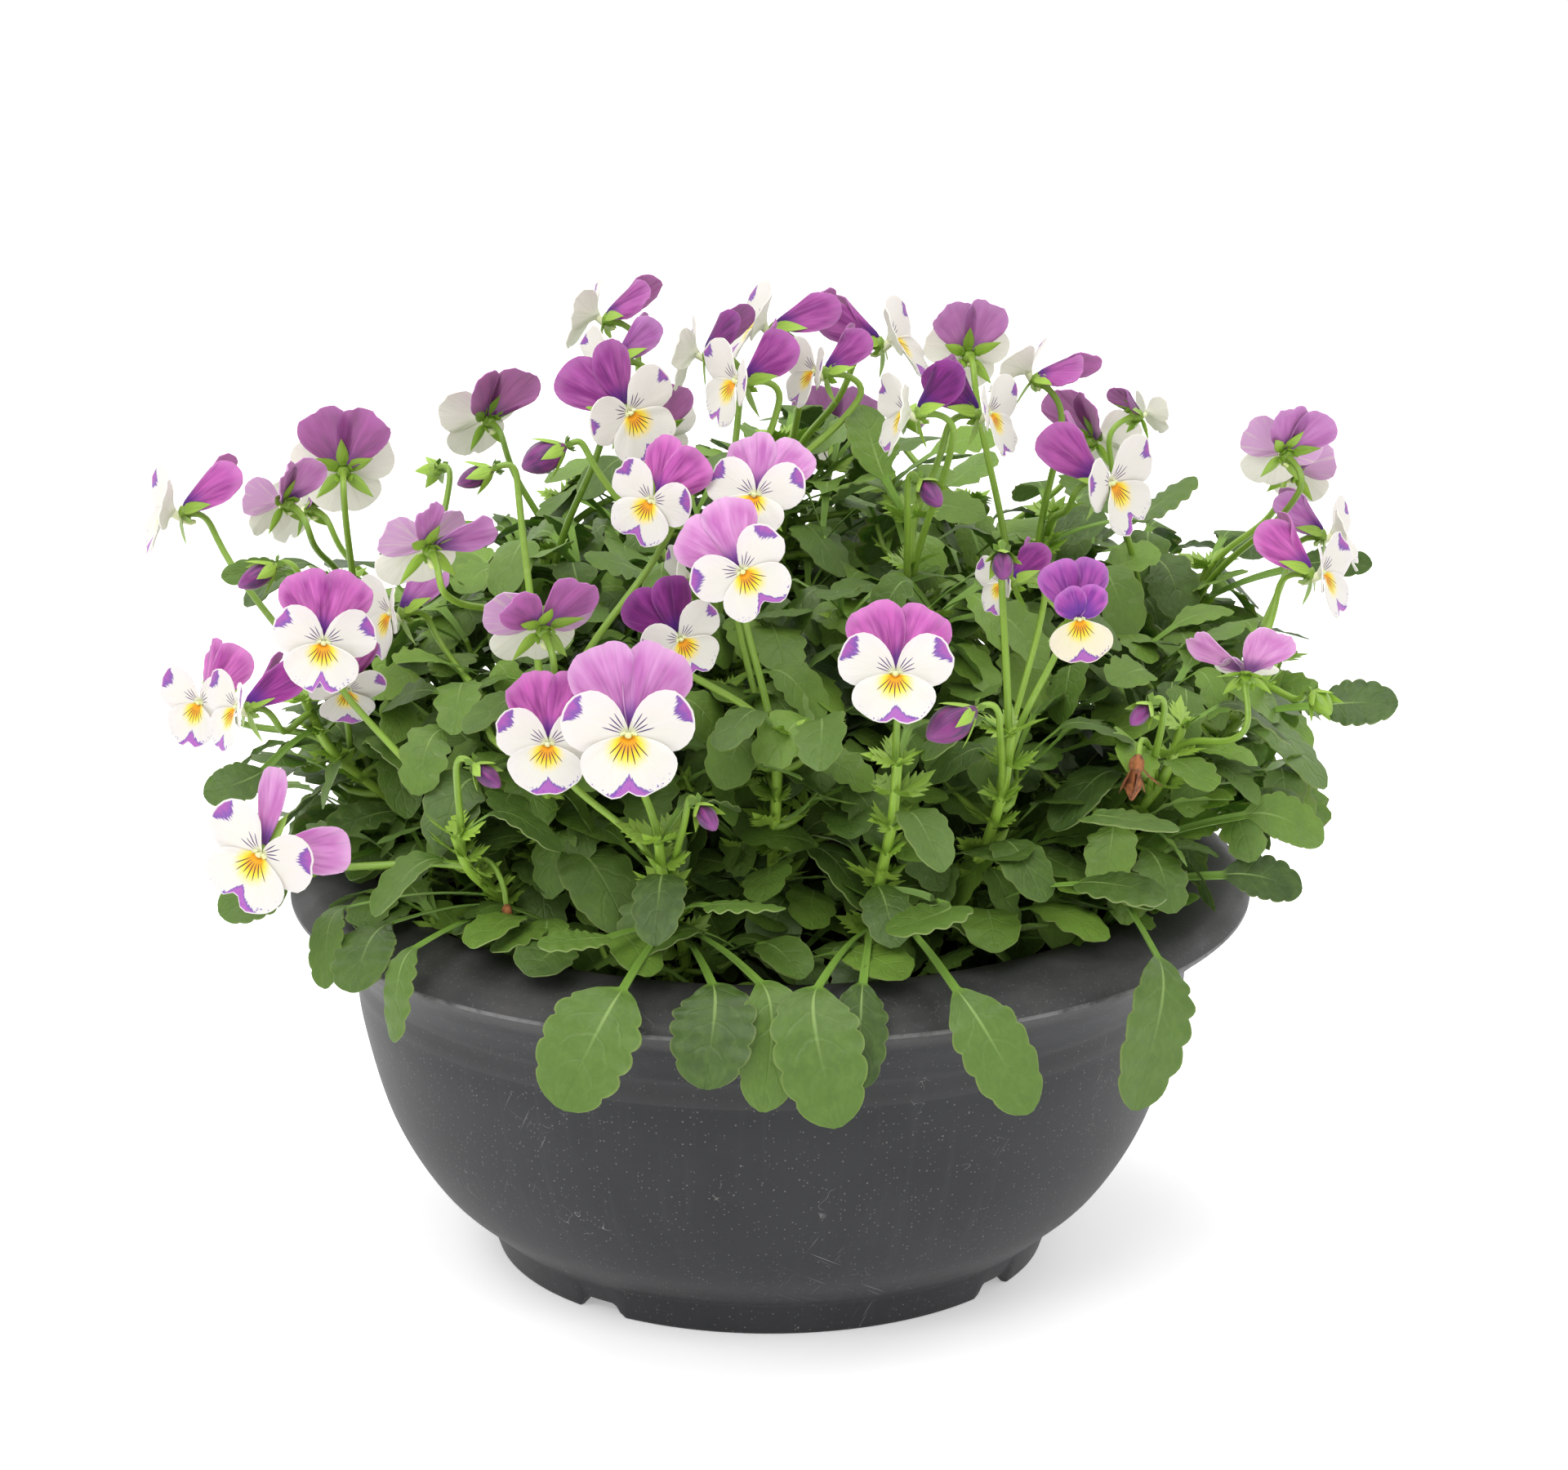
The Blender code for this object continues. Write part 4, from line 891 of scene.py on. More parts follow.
# %% [markdown]
# Working through the plan in its order gives four lists: the stems' lines, the stalks with how
# far their sepals lean back, the buds, and the leaves.
# %% Work through the plan
def plan_stalks():
    """For each bloom: how far the sepals lean, and the side to which its stalk swings."""
    stalks = []
    bulges = [turned(step * GOLDEN) * (6 + 3 * (step // 8)) * (step > 0) for step in range(TRIES)]
    for number, (node, branch, place, throat, facing, pitch, roll, size, sweep, tint) in enumerate(BLOOMS, 1):
        axes, throat = bloom_axes(facing, pitch, roll), vec(*throat)
        root, back = along(paths[node][branch], place), throat - axes[2] * STALK_END
        bends = [stalk_bend(root, back, axes[2], bulge) for bulge in bulges]
        bulge = bulges[taken(node, bends, STALK_RADIUS)]
        leans = np.radians(sweep + np.array(SEPAL_TRIES))
        reach = SEPAL_LENGTH * size ** 0.5
        tips = [vec(0, reach * np.cos(lean), -SEPAL_ROOT - reach * np.sin(lean)) for lean in leans]
        extra = SEPAL_TRIES[taken(node, [throat + tip @ axes for tip in tips], 0.0)]
        stalks.append(dict(node=node, root=root, throat=throat, axes=axes, bulge=bulge, size=size,
                           sweep=sweep, extra=extra, tint=tint, number=number, facing=facing))
    return stalks


def plan_buds():
    """For each bud: its stalk's root and its own start, heading and length."""
    buds = []
    for node, branch, place, tip, nod, length in BUDS:
        heading = turned(nod, -25)
        backs = [vec(*tip) + turned(step * GOLDEN) * (3 + step * 0.6) * (step > 0) for step in range(TRIES)]
        ends = [back + heading * (length - 1.0) for back in backs]
        back, root = backs[taken(node, ends, BUD_END * length)], along(paths[node][branch], place)
        buds.append(dict(node=node, root=root, back=back, heading=heading, length=length))
    return buds


def large_leaves():
    """For each leaf of the table: its stem, that it is large, and the places it may take."""
    for node, branch, place, foot, tip, breadth in LEAVES:
        root = along(paths[node][branch], place)
        shifts = [turned(step * GOLDEN, 20) * (1 + 0.5 * step) * (step > 0) for step in range(TRIES)]
        yield node, True, [(root, vec(*foot) + shift * 0.6, vec(*tip) + shift, breadth) for shift in shifts]


def ruled_leaves():
    """The same for a few smaller leaves on every branch, which follow in golden-angle turns."""
    draw = np.random.default_rng(11)
    for node, branches in paths.items():
        for path, count in zip(branches, LEAVES_BY_RULE):
            turn = draw.uniform(0, 360)
            for index in range(count):
                share = 0.34 + 0.64 * index / (count - 1)
                turn += GOLDEN
                root = along(path, share)
                length = 50 - 15 * share + draw.uniform(-4, 4)
                breadth = (0.76 - 0.24 * share) * length * (1 - STALK_SHARE)
                rise = 24 + 20 * share + draw.uniform(-8, 8)
                places = []
                for step in range(TRIES):
                    heading = turn + (-1) ** step * 14 * ((step + 1) // 2)
                    scale = 1 - 0.02 * step
                    foot = root + turned(heading, rise) * length * STALK_SHARE * scale
                    tip = foot + turned(heading, rise - 62) * length * (1 - STALK_SHARE) * scale
                    places.append((root, foot, tip, breadth * scale))
                yield node, False, places


def plan_leaves():
    """All leaves in the places that they took: large ones first, then those by rule."""
    leaves = []
    for node, large, places in [*large_leaves(), *ruled_leaves()]:
        root, foot, tip, breadth = places[taken(node, [place[2] for place in places], BLADE / 2)]
        leaves.append(dict(node=node, root=root, foot=foot, tip=tip, breadth=breadth, large=large))
    return leaves


paths = {node: stem_paths(root, tips) for node, (root, tips) in STEMS.items()}
stalks, buds, leaves = plan_stalks(), plan_buds(), plan_leaves()
bloom_names = [f"bloom_{number:02d}_{row[-1]}" for number, row in enumerate(BLOOMS, 1)]
print("stalks", len(stalks), "buds", len(buds), "leaves", len(leaves))

# %% [markdown]
# ## Leaf and stem finishes
# A pansy leaf is a matt, slightly bluish green above and paler below, with a pale midrib that
# fades towards the tip and soft side veins that run out to the notches. Old leaves are dark and
# young ones yellowish, which the mood paint decides for each leaf. The mood also carries painted
# light and shade: it is set darker for leaves inside the foliage and for large ones that hang low.
# The stems are a brighter, watery green with darker ribs, paler where they are young. An image
# would look the same on hundreds of leaves, so every line here is a formula that a noise or the mood
# bends a little.
# %% Leaf green and stem green
def leaf_green():
    """Green by mood; midrib and curved side veins from the pattern coordinates; paler underside."""
    net = Net("leaf_green", rough=0.5, Specular_IOR_Level=0.36, Subsurface_Weight=0.06,
              Subsurface_Scale=0.002, Subsurface_Radius=(0.4, 0.9, 0.15))
    place, mood, back, share = net.place(), net.paint("mood"), net.paint("back"), net.paint("share")
    u, v = net.pattern()
    off = net.math("ABSOLUTE", u * 2.0 - 1.0)
    patch = net.noise(place, 170.0, 3.0, 0.55)
    fine = net.noise(place, 1300.0, 2.0, 0.6)
    young = net.math("ADD", mood, (patch - 0.5) * 0.25, clamp=True)
    colour = net.mix(net.step(young, 0.0, 0.55), hue(34, 54, 18), hue(84, 112, 42))
    colour = net.mix(net.step(young, 0.5, 1.0), colour, hue(118, 152, 54))
    bend = net.math("POWER", off, 1.4) + (patch - 0.5) * 0.5
    lines = net.math("FRACT", share * 5.0 - bend * 1.5)
    near = net.math("ABSOLUTE", lines - 0.5)
    side_vein = net.step(near, 0.13, 0.0) * net.step(off, 0.97, 0.35)
    side_vein = side_vein * net.step(share, 0.03, 0.15)
    width = 0.058 - share * 0.05
    midrib = net.step(off - width, 0.03, -0.02)
    net_veins = net.step(net.noise(net.join(u * 7.0, v * 16.0, mood), 2.2, 2.0), 0.46, 0.52)
    colour = net.mix(side_vein * 0.09 * net.step(share, 0.9, 0.5), colour, hue(134, 156, 96))
    colour = net.mix(net_veins * 0.07, colour, hue(40, 62, 30))
    colour = net.mix(midrib * 0.75 * net.step(share, 0.85, 0.15), colour, hue(138, 164, 92))
    colour = net.mix(net.step(share, 0.10, -0.02), colour, hue(116, 152, 60))
    under = net.mix(0.6, colour, hue(124, 146, 96))
    colour = net.mix(back * 0.8, colour, under)
    rim = net.step(off, 0.93, 1.0) * net.step(share, 0.1, 0.3)
    colour = net.mix(rim * 0.28, colour, hue(140, 150, 84))
    blister = net.noise(net.join(u * 6.0, share * 8.0, mood * 9.0), 1.3, 2.0)
    height = (side_vein + midrib) * -0.5 + (fine * 0.25 + blister)
    colour = net.mix(net.step(blister, 0.45, 0.7) * 0.1, colour, hue(116, 144, 68))
    net.bump(height, 0.4, 0.0006)
    return net.done(colour, 0.4 + patch * 0.2)


def stem_green():
    """Fresh green with darker ribs round the bar, mottled, and lighter as the mood rises."""
    net = Net("stem_green", rough=0.42, Specular_IOR_Level=0.45, Subsurface_Weight=0.08,
              Subsurface_Scale=0.002, Subsurface_Radius=(0.5, 1.0, 0.2))
    place, mood = net.place(), net.paint("mood")
    u, v = net.pattern()
    rib = net.noise(net.join(u * 9.0, v * 1.6, mood), 1.4, 2.0)
    colour = net.mix(mood, hue(92, 124, 36), hue(156, 192, 72))
    colour = net.mix(net.step(rib, 0.45, 0.7) * 0.35, colour, hue(66, 92, 32))
    mottle = net.step(net.noise(place, 420.0, 3.0), 0.5, 0.75)
    colour = net.mix(mottle * 0.2, colour, hue(164, 188, 100))
    net.bump(rib, 0.3, 0.0003)
    return net.done(colour)


def dark_bud():
    """Rolled petals of a bud: deep violet purple with lengthwise folds and a paler tip."""
    net = Net("rolled_petals", rough=0.5, Sheen_Weight=0.2)
    u, v = net.pattern()
    folds = net.noise(net.join(u * 10.0, v * 1.2, net.paint("mood")), 1.6, 2.0)
    colour = net.mix(net.step(folds, 0.35, 0.68), hue(70, 18, 80), hue(120, 32, 110))
    colour = net.mix(net.step(v, 0.72, 1.0) * 0.5, colour, hue(152, 72, 146))
    net.bump(folds, 0.5, 0.0004)
    return net.done(colour)


def dry_petal():
    """A dead bloom: papery, dark brown to orange brown by the noise that also makes its folds."""
    net = Net("dry_petal", rough=0.8)
    folds = net.noise(net.place(), 420.0, 4.0, 0.6)
    colour = net.mix(net.step(folds, 0.35, 0.65), hue(92, 52, 32), hue(168, 104, 58))
    net.bump(folds, 0.8, 0.0006)
    return net.done(colour)


GREEN = [leaf_green(), stem_green(), dark_bud(), dry_petal()]
LEAF, STEM, BUD, DRY = range(4)
print("green finishes", [m.name for m in GREEN])

# %% [markdown]
# ## Leaves
# The blade is a sheet: its rows follow the midrib from the stem to the tip, its columns go from
# one edge to the other. The edge is a rounded oval times a row of blunt teeth. A real leaf is
# never flat, so it is folded a little along the midrib, its edges curl down, and the teeth
# ripple. Every leaf draws its own amounts from a seeded generator.
# %% One leaf
def toothed_edge(q, teeth, depth):
    """Half breadth along the blade: sqrt(1 - |2 q^1.2 - 1|^2.4), narrowed at the foot, times teeth."""
    q = np.clip(q, 0, 1)
    oval = np.sqrt(1 - np.abs(2 * q ** 1.2 - 1) ** 2.4)
    foot = 1 - 0.5 * np.clip(1 - q / 0.4, 0, 1) ** 1.3
    steps = 1 - depth * (1 - np.abs(np.sin(np.pi * teeth * q)) ** 0.6) * smooth_step(0.1, 0.3, q)
    return oval * foot * steps


TOOTH_DEPTH = (0.24, 0.15)      # on the small leaves and on the large ones, at most
LEAF_THICK, LOBE_THICK = 0.42, 0.4


def leaf_line(root, foot, tip, stalk_rows, q):
    """Midrib: a nearly straight stalk to the foot, then an arching curve out and down to the tip."""
    run = tip - foot
    length, out = np.linalg.norm(run), unit(foot - root)
    bow = foot + out * length * 0.45 + vec(0, 0, 0.06 * length)
    blade = bezier(foot, foot + out * length * 0.3, bow * 0.35 + (tip - run * 0.3) * 0.65, tip, q)
    t = np.linspace(0, 1, stalk_rows, endpoint=False)[:, None]
    sag = np.sin(np.pi * t) * vec(0, 0, 0.05 * np.linalg.norm(foot - root))
    return np.concatenate([root + (foot - root) * t + sag, blade])


def leaf_part(root, foot, tip, breadth, draw, mood, rows=(6, 26), columns=7, teeth=4.5, roll=0.0,
              face=(0, 0, 1)):
    """A closed leaf: points = midrib + side * half breadth * u + up * (fold, curl and ripple).

    Its upper face looks towards `face`, as far as the midrib allows.
    """
    stalk_rows, blade_rows = rows
    q = np.linspace(0, 1, blade_rows)
    line = leaf_line(root, foot, tip, stalk_rows, q)
    heading = tangents(line)
    side = np.cross(tip - foot, vec(*face))
    side = unit(side if np.linalg.norm(side) > 1e-6 else vec(1, 0, 0))
    across = unit(side - heading * (heading @ side)[:, None])
    up = np.cross(across, heading)
    q = np.concatenate([np.linspace(-0.3, 0, stalk_rows, endpoint=False), q])
    turn = np.radians(roll + draw.uniform(-16, 16) * np.clip(q, 0, 1))[:, None]
    across, up = np.cos(turn) * across + np.sin(turn) * up, np.cos(turn) * up - np.sin(turn) * across
    wing = 0.75 + 0.45 * smooth_step(-0.25, 0.05, q)
    depth = draw.uniform(0.5, 1.0) * TOOTH_DEPTH[columns > 3]
    half = np.maximum(breadth / 2 * toothed_edge(q, teeth, depth), wing)
    half[-1] = 0.25 * half[-2]
    u = np.linspace(-1, 1, columns)
    fold, curl = draw.uniform(0.05, 0.30), draw.uniform(0.02, 0.24)
    ripple = draw.uniform(0.02, 0.07) * np.sin(2 * np.pi * teeth * q + draw.uniform(0, 6))
    blade = smooth_step(0, 0.2, q)[:, None]
    lift = (blade * (fold * np.abs(u) - curl * u ** 2 + ripple[:, None] * u ** 2)
            + (1 - blade) * 0.25 * np.abs(u))
    sheet = (line[:, None] + across[:, None] * (half[:, None] * u)[:, :, None]
             + up[:, None] * (half[:, None] * lift)[:, :, None])
    uv = np.stack(np.meshgrid(0.5 + 0.5 * u, 0.25 + 0.75 * q), axis=-1)
    shell = thin_shell if columns > 3 else lens_shell
    return shell(sheet, uv, LEAF_THICK, mood, np.repeat(q[:, None], columns, axis=1), LEAF)


def lobe_part(base, heading, up, length, breadth, mood, rows, widest, arch=0.0, finish=STEM):
    """A small pointed blade: half breadth sin(pi q^k), with k set so that it is widest at `widest`.

    It has three columns, for its two edges and its midrib.
    """
    side = unit(np.cross(heading, up))
    normal = np.cross(side, heading)
    q = np.linspace(0, 1, rows)
    power = np.log(0.5) / np.log(widest)
    half = breadth / 2 * np.maximum(np.sin(np.pi * q ** power), 0.0) + breadth * 0.10 * (1 - q) + 0.05
    u = vec(-1, 0, 1)
    line = base + np.outer(q * length, heading) + np.outer(arch * length * q ** 2, normal)
    sheet = (line[:, None] + side * (half[:, None] * u)[:, :, None]
             + normal * (half[:, None] * 0.22 * np.abs(u))[:, :, None])
    uv = np.stack(np.meshgrid(0.5 + 0.5 * u, 0.25 + 0.75 * q), axis=-1)
    return lens_shell(sheet, uv, LOBE_THICK, mood, np.repeat(q[:, None], 3, axis=1) * 0.6 + 0.3, finish)


trial = leaf_part(vec(0, 0, 0), vec(14, 0, 5), vec(38, 0, 0), 18, np.random.default_rng(1), 0.5)
trial_breadth = round(float(np.ptp(trial["points"][:, 1])), 1)
print("a leaf has", len(trial["points"]), "points and is", trial_breadth, "mm broad")

# %% [markdown]
# ## Stalks, sepals, buds
# Each bloom hangs from a hooked stalk. Behind it sit five pointed sepals, each with a short ear
# that points backwards, round a small green knob. All of them are placed in the bloom's own axes,
# so that they turn with it and can't come apart from it.
# %% A stalk with its calyx
SEPAL_DIRECTIONS = np.array([90, 146, 226, 314, 34])


def hooked_line(root, back, forward, bulge):
    """Out of the stem, up to below the bloom, and over in a small hook to its back."""
    rise, below = back[2] - root[2], hook_foot(back, forward)
    aside = (below - root) * vec(1, 1, 0)
    start = root + vec(0, 0, 0.42 * rise) + 0.22 * aside + bulge
    ahead = vec(0, 0, 0.3 * max(rise, 4.0)) + 0.24 * aside
    rise_line = bezier(root, start, below - ahead, below, 20)
    hook = bezier(below, below + 5.5 * unit(ahead), back - forward * 5.5 + vec(0, 0, 0.4), back, 9)
    return np.concatenate([rise_line, hook[1:]])


def stalk_parts(stalk, draw):
    """Stalk, knob, five sepals and their ears, in the bloom's own axes."""
    axes, throat, size = stalk["axes"], stalk["throat"], stalk["size"]
    line = hooked_line(stalk["root"], throat - axes[2] * STALK_END, axes[2], stalk["bulge"])
    thick = 0.82 + 0.22 * size
    radii = np.interp(np.linspace(0, 1, len(line)), [0, 0.15, 0.93, 1], [1.25, 1.02, 0.9, 1.25]) * thick
    mood = draw.uniform(0.25, 0.7)
    parts = [bar(line, radii, 7, mood)]
    knob = throat + np.outer([-5.6, -4.8, -3.4, -2.3, -1.9], axes[2])
    parts.append(bar(knob, [0.8, 1.7, 2.1, 1.8, 0.7], 8, 0.5))
    leans = np.array([stalk["sweep"], stalk["sweep"], 0, 0, stalk["sweep"]]) + stalk["extra"]
    reach = SEPAL_LENGTH * size ** 0.5 * 1.08
    for direction, lean in zip(SEPAL_DIRECTIONS, np.radians(leans + draw.uniform(-3, 3, 5))):
        a = np.radians(direction + draw.uniform(-6, 6))
        flat = vec(np.cos(a), np.sin(a), 0)
        heading = (flat * np.cos(lean) - vec(0, 0, np.sin(lean))) @ axes
        base = throat + (flat * 1.2 - vec(0, 0, SEPAL_ROOT + 0.3)) @ axes
        parts.append(lobe_part(base, heading, axes[2], reach * draw.uniform(0.95, 1.1), 3.3 * size ** 0.5,
                               draw.uniform(0.6, 1.0), 7, 0.34, -0.06))
        ear = unit(flat * 0.55 - vec(0, 0, 1.0)) @ axes
        parts.append(lobe_part(base, ear, flat @ axes, 3.6, 2.4, 0.85, 4, 0.55))
    return parts


print("parts of a stalk", len(stalk_parts(stalks[0], np.random.default_rng(1))))

# %% [markdown]
# A bud is a roll of petals held by the same five sepals. Where the petals have dropped a green
# seed capsule is left. Two old blooms have withered on their stalks. All of these are the same
# bars and small blades with other measures, so nothing new has to be modelled.
# %% A bud and a dead bloom
GREEN_CAPSULES = (9, 11)


def bud_parts(bud, draw, index):
    """A nodding bud: a roll of petals or a green capsule, held by five sepals."""
    heading, length = bud["heading"], bud["length"]
    line = hooked_line(bud["root"], bud["back"], heading, vec(0, 0, 0))
    parts = [bar(line, np.linspace(1.1, 0.85, len(line)), 7, 0.5)]
    start = bud["back"] - heading
    q = np.linspace(0, 1, 10)
    green = index in GREEN_CAPSULES
    shape = np.sin(np.pi * np.clip(q, 0.02, 0.985) ** (0.75 if green else 1.05)) ** 0.62
    plump = 0.25 if green else 0.33 if length >= 13 else 0.26
    body = start + np.outer(q * length * (0.78 if green else 1.0), heading)
    parts.append(bar(body, shape * length * plump, 10, 0.6 if green else draw.uniform(0, 1),
                     finish=STEM if green else BUD))
    across = unit(np.cross(heading, vec(0, 0, 1)))
    above = np.cross(across, heading)
    for k in range(5):
        a = 2 * np.pi * k / 5 + 0.4
        out = np.cos(a) * across + np.sin(a) * above
        leaning = unit(heading + out * (0.25 + 2.4 * plump))
        parts.append(lobe_part(start + out * 1.0 + heading * 0.4, leaning, -out, length * 0.68, 3.0, 0.85,
                               6, 0.35, 0.55 * plump))
        parts.append(lobe_part(start + out * 0.9, unit(out * 0.8 - heading), out, 2.6, 1.8, 0.75, 3, 0.5,
                               finish=LEAF))
    return parts


def dead_bloom_parts(back, heading, length, draw):
    """A dead bloom: a crumpled roll with a few shrivelled blades round it."""
    q = np.linspace(0, 1, 9)
    across = unit(np.cross(heading, vec(0.3, 0.2, 1)))
    line = back + np.outer(q * length, heading) + np.outer(np.sin(7 * q) * 0.9, across)
    plump = (0.16 + 0.05 * np.sin(11 * q)) * np.sin(np.pi * (0.06 + 0.9 * q)) ** 0.5
    parts = [bar(line, length * plump, 9, 0.5, finish=DRY, ridge=0.2)]
    for k in range(7):
        out = unit(turned(51 * k, draw.uniform(-60, -20)) + heading)
        up = unit(np.cross(out, across))
        parts.append(lobe_part(back + heading * 1.5, out, up, length * draw.uniform(0.6, 0.9), length * 0.24,
                               0.5, 6, 0.6, draw.uniform(-0.4, 0.4), DRY))
    return parts


print("parts of a bud", len(bud_parts(buds[0], np.random.default_rng(1), 0)))

# %% [markdown]
# ## Stems, stipules and young shoots
# Where a leaf leaves the stem it has a pair of stipules: small leaf-like combs of narrow lobes,
# which make a pansy's stems look feathery. One cut-out blade would look like one more leaf, so
# each lobe is a blade of its own, with very few faces.
# %% Stipules
def stipule_parts(root, out, draw, size, pairs=2):
    """Two combs of lobes, one each side of a leaf's stalk: a long end lobe and short side ones."""
    parts = []
    side = unit(np.cross(out, vec(0, 0, 1)) + 1e-6)
    for hand in (-1, 1):
        spine = unit(out * 0.55 + side * hand * 0.75 + vec(0, 0, 0.45))
        normal = unit(np.cross(spine, side * hand))
        reach = size * draw.uniform(6.0, 9.0)
        mood = draw.uniform(0.45, 1.0)
        parts.append(lobe_part(root, spine, normal, reach, reach * 0.28, mood, 4, 0.62, -0.1))
        for k in range(pairs):
            base = root + spine * reach * (0.16 + 0.2 * k)
            for lean in (-1, 1):
                heading = unit(spine + lean * np.cross(normal, spine) * 0.95)
                parts.append(lobe_part(base, heading, normal, reach * (0.52 - 0.1 * k), reach * 0.15, mood,
                                       3, 0.5))
    return parts


trial = stipule_parts(vec(0, 0, 0), vec(1, 0, 0), np.random.default_rng(1), 1.0)
print("lobes of a pair of stipules", len(trial))

# %% [markdown]
# A leaf that would run through a bloom or the bowl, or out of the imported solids' box, turns away
# or is left out. Three quick tests on a few of its points find that out.
# %% The room that blooms and bowl need
CLEAR_RADIUS, CLEAR_BEHIND, CLEAR_AHEAD = 22.0, 7.0, 16.0
BOX_MARGIN = 4.0
# the height that a leaf has to stay above, by its distance from the bowl's middle
COLLAR_RADII = [0, 110, 112, 119.5, 128, 134, 138]
COLLAR_HEIGHTS = [99, 98, 115.5, 116, 114, 110, 90]


def clear_of(points):
    """True where no point lies in the space just behind, in and in front of a bloom."""
    for stalk in stalks:
        local = (points - stalk["throat"]) @ stalk["axes"].T
        wide = np.hypot(local[:, 0], local[:, 1]) < CLEAR_RADIUS * stalk["size"]
        if (wide & (local[:, 2] > -CLEAR_BEHIND) & (local[:, 2] < CLEAR_AHEAD)).any():
            return False
    return True


def in_the_box(points):
    """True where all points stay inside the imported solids' box, less a margin."""
    low, high = np.array(cad_box) / MM
    return bool(((points > low + BOX_MARGIN) & (points < high - BOX_MARGIN)).all())


def above_bowl(points):
    """True where points over the bowl's wall stay above its collar, or outside the wall."""
    radius = np.hypot(points[:, 0], points[:, 1])
    return bool((points[:, 2] > np.interp(radius, COLLAR_RADII, COLLAR_HEIGHTS)).all())


print("a point 118 mm high is clear of the collar's crown:", above_bowl(vec(120, 0, 118)[None]))

# %% [markdown]
# The space between the stems is filled with side shoots, whose tips are spread by the golden
# angle over a dome: a flattened half ball, a little to the right of the bowl's middle, as the
# plants have grown. Each shoot bends down to the nearest stem. Inner shoots close the view to
# the soil, and crown shoots do so in the middle, where the blooms leave little room.
# %% Side shoots over the dome
DOME_MIDDLE, DOME_RADII = (6, 0, 96), (150, 128, 124)
SHOOTS, INNER_SHOOTS, CROWN_SHOOTS, WHORL = 200, 90, 26, 6
CROWN_RADIUS, THINNING = 60, 0.55


def dome_point(index, count, sink):
    """Even spread over the half ball: equal steps of height, the golden angle between neighbours.

    Low at the front the points lie further in, so that the stems stand free there. The dome rises
    a little towards the back.
    """
    level = 0.985 - 0.93 * (index + 0.5) / count
    a = np.radians(GOLDEN * index + 20)
    flat = np.sqrt(1 - level ** 2)
    front = max(0.0, -np.sin(a)) ** 2 * max(0.0, 1 - abs(level - 0.36) / 0.36)
    sink -= 0.38 * front
    place = vec(*DOME_MIDDLE) + vec(*DOME_RADII) * vec(flat * np.cos(a), flat * np.sin(a), level) * sink
    return place + vec(0, 0, 0.27 * max(0.0, place[1]))


stem_lines = [(node, along(path, share)) for node, branches in paths.items() for path in branches
              for share in np.linspace(0.15, 0.9, 12)]
stem_points = np.array([point for _, point in stem_lines])


def shoot(tip):
    """A side shoot: the stem point with the shortest way that rises, and a curve from it to the tip."""
    gap = tip - stem_points
    cost = np.linalg.norm(gap, axis=1) + 3 * np.clip(6 - gap[:, 2], 0, None)
    node, root = stem_lines[int(cost.argmin())]
    reach = np.linalg.norm(tip - root)
    out = unit(vec(tip[0], tip[1], 0) + 1e-6)
    return node, bezier(root, root + out * reach * 0.45, tip - vec(0, 0, 0.35 * reach), tip, 7)


print("points on the stems that a shoot may leave from", len(stem_points))

# %% [markdown]
# Each shoot carries a whorl of leaves, which turn by the golden angle from one to the next, as
# on the living plant, and lean to the outside and the light.
# %% Leaves on the shoots
def among_front_stems(tip):
    """True low at the front, where some of the leaves are left out so that the stems show."""
    return tip[1] < -86 and 112 < tip[2] < 190 and abs(tip[0]) < 105


def whorl_parts(line, draw, count, light):
    """Leaves round the last part of a shoot in golden-angle turns, those nearest the tip smallest."""
    parts = []
    outward = unit(vec(line[-1][0], line[-1][1], 50.0))
    facing = np.degrees(np.arctan2(line[-1][1], line[-1][0]))
    turn = draw.uniform(0, 360)
    for k in range(count):
        share = 1 - 0.5 * (k / count)
        root = along(line, share)
        turn += GOLDEN
        for step in range(6):
            swing = (turn + 180) % 360 - 180
            a = facing + 0.72 * swing + (-1) ** step * 24 * ((step + 1) // 2)
            rise = draw.uniform(12, 60) - 30 * (1 - share)
            length = draw.uniform(25, 35) + 18 * (1 - share) - 2 * step
            out = unit(turned(a, rise) + 0.35 * outward)
            foot = root + out * length * 0.44
            tip = foot + unit(turned(a, draw.uniform(-58, 24))) * length * 0.56
            probe = np.array([root, foot, (foot + tip) / 2, tip])
            if among_front_stems(tip) and draw.random() < THINNING:
                break
            if clear_of(probe[1:]) and above_bowl(probe) and in_the_box(probe):
                # the mood starts from the shoot's light value: painted light and shade by depth in the
                # foliage
                mood = np.clip(light + 0.5 * (share - 0.5) + draw.uniform(-0.26, 0.3), 0, 1)
                breadth = length * 0.56 * draw.uniform(0.62, 0.82)
                parts.append(leaf_part(root, foot, tip, breadth, draw, mood, (2, 13), 3, 4,
                                       draw.uniform(-32, 32)))
                break
    return parts


def shoot_tips(draw):
    """Each shoot's tip and how light its leaves are, a painted light and shade: on the dome, inside it, and
    in the crown.
    """
    # painted light and shade: leaves on the dome get a lighter mood, those inside it the darkest
    for index in range(SHOOTS):
        yield dome_point(index, SHOOTS, draw.uniform(0.74, 0.97)), 0.42
    for index in range(INNER_SHOOTS):
        yield dome_point(index, INNER_SHOOTS, draw.uniform(0.35, 0.66)), 0.12
    for index in range(CROWN_SHOOTS):
        spread = CROWN_RADIUS * np.sqrt((index + 0.5) / CROWN_SHOOTS)
        flat = turned(GOLDEN * (SHOOTS + INNER_SHOOTS + index)) * spread
        yield flat + vec(0, -4, draw.uniform(150, 186)), 0.3


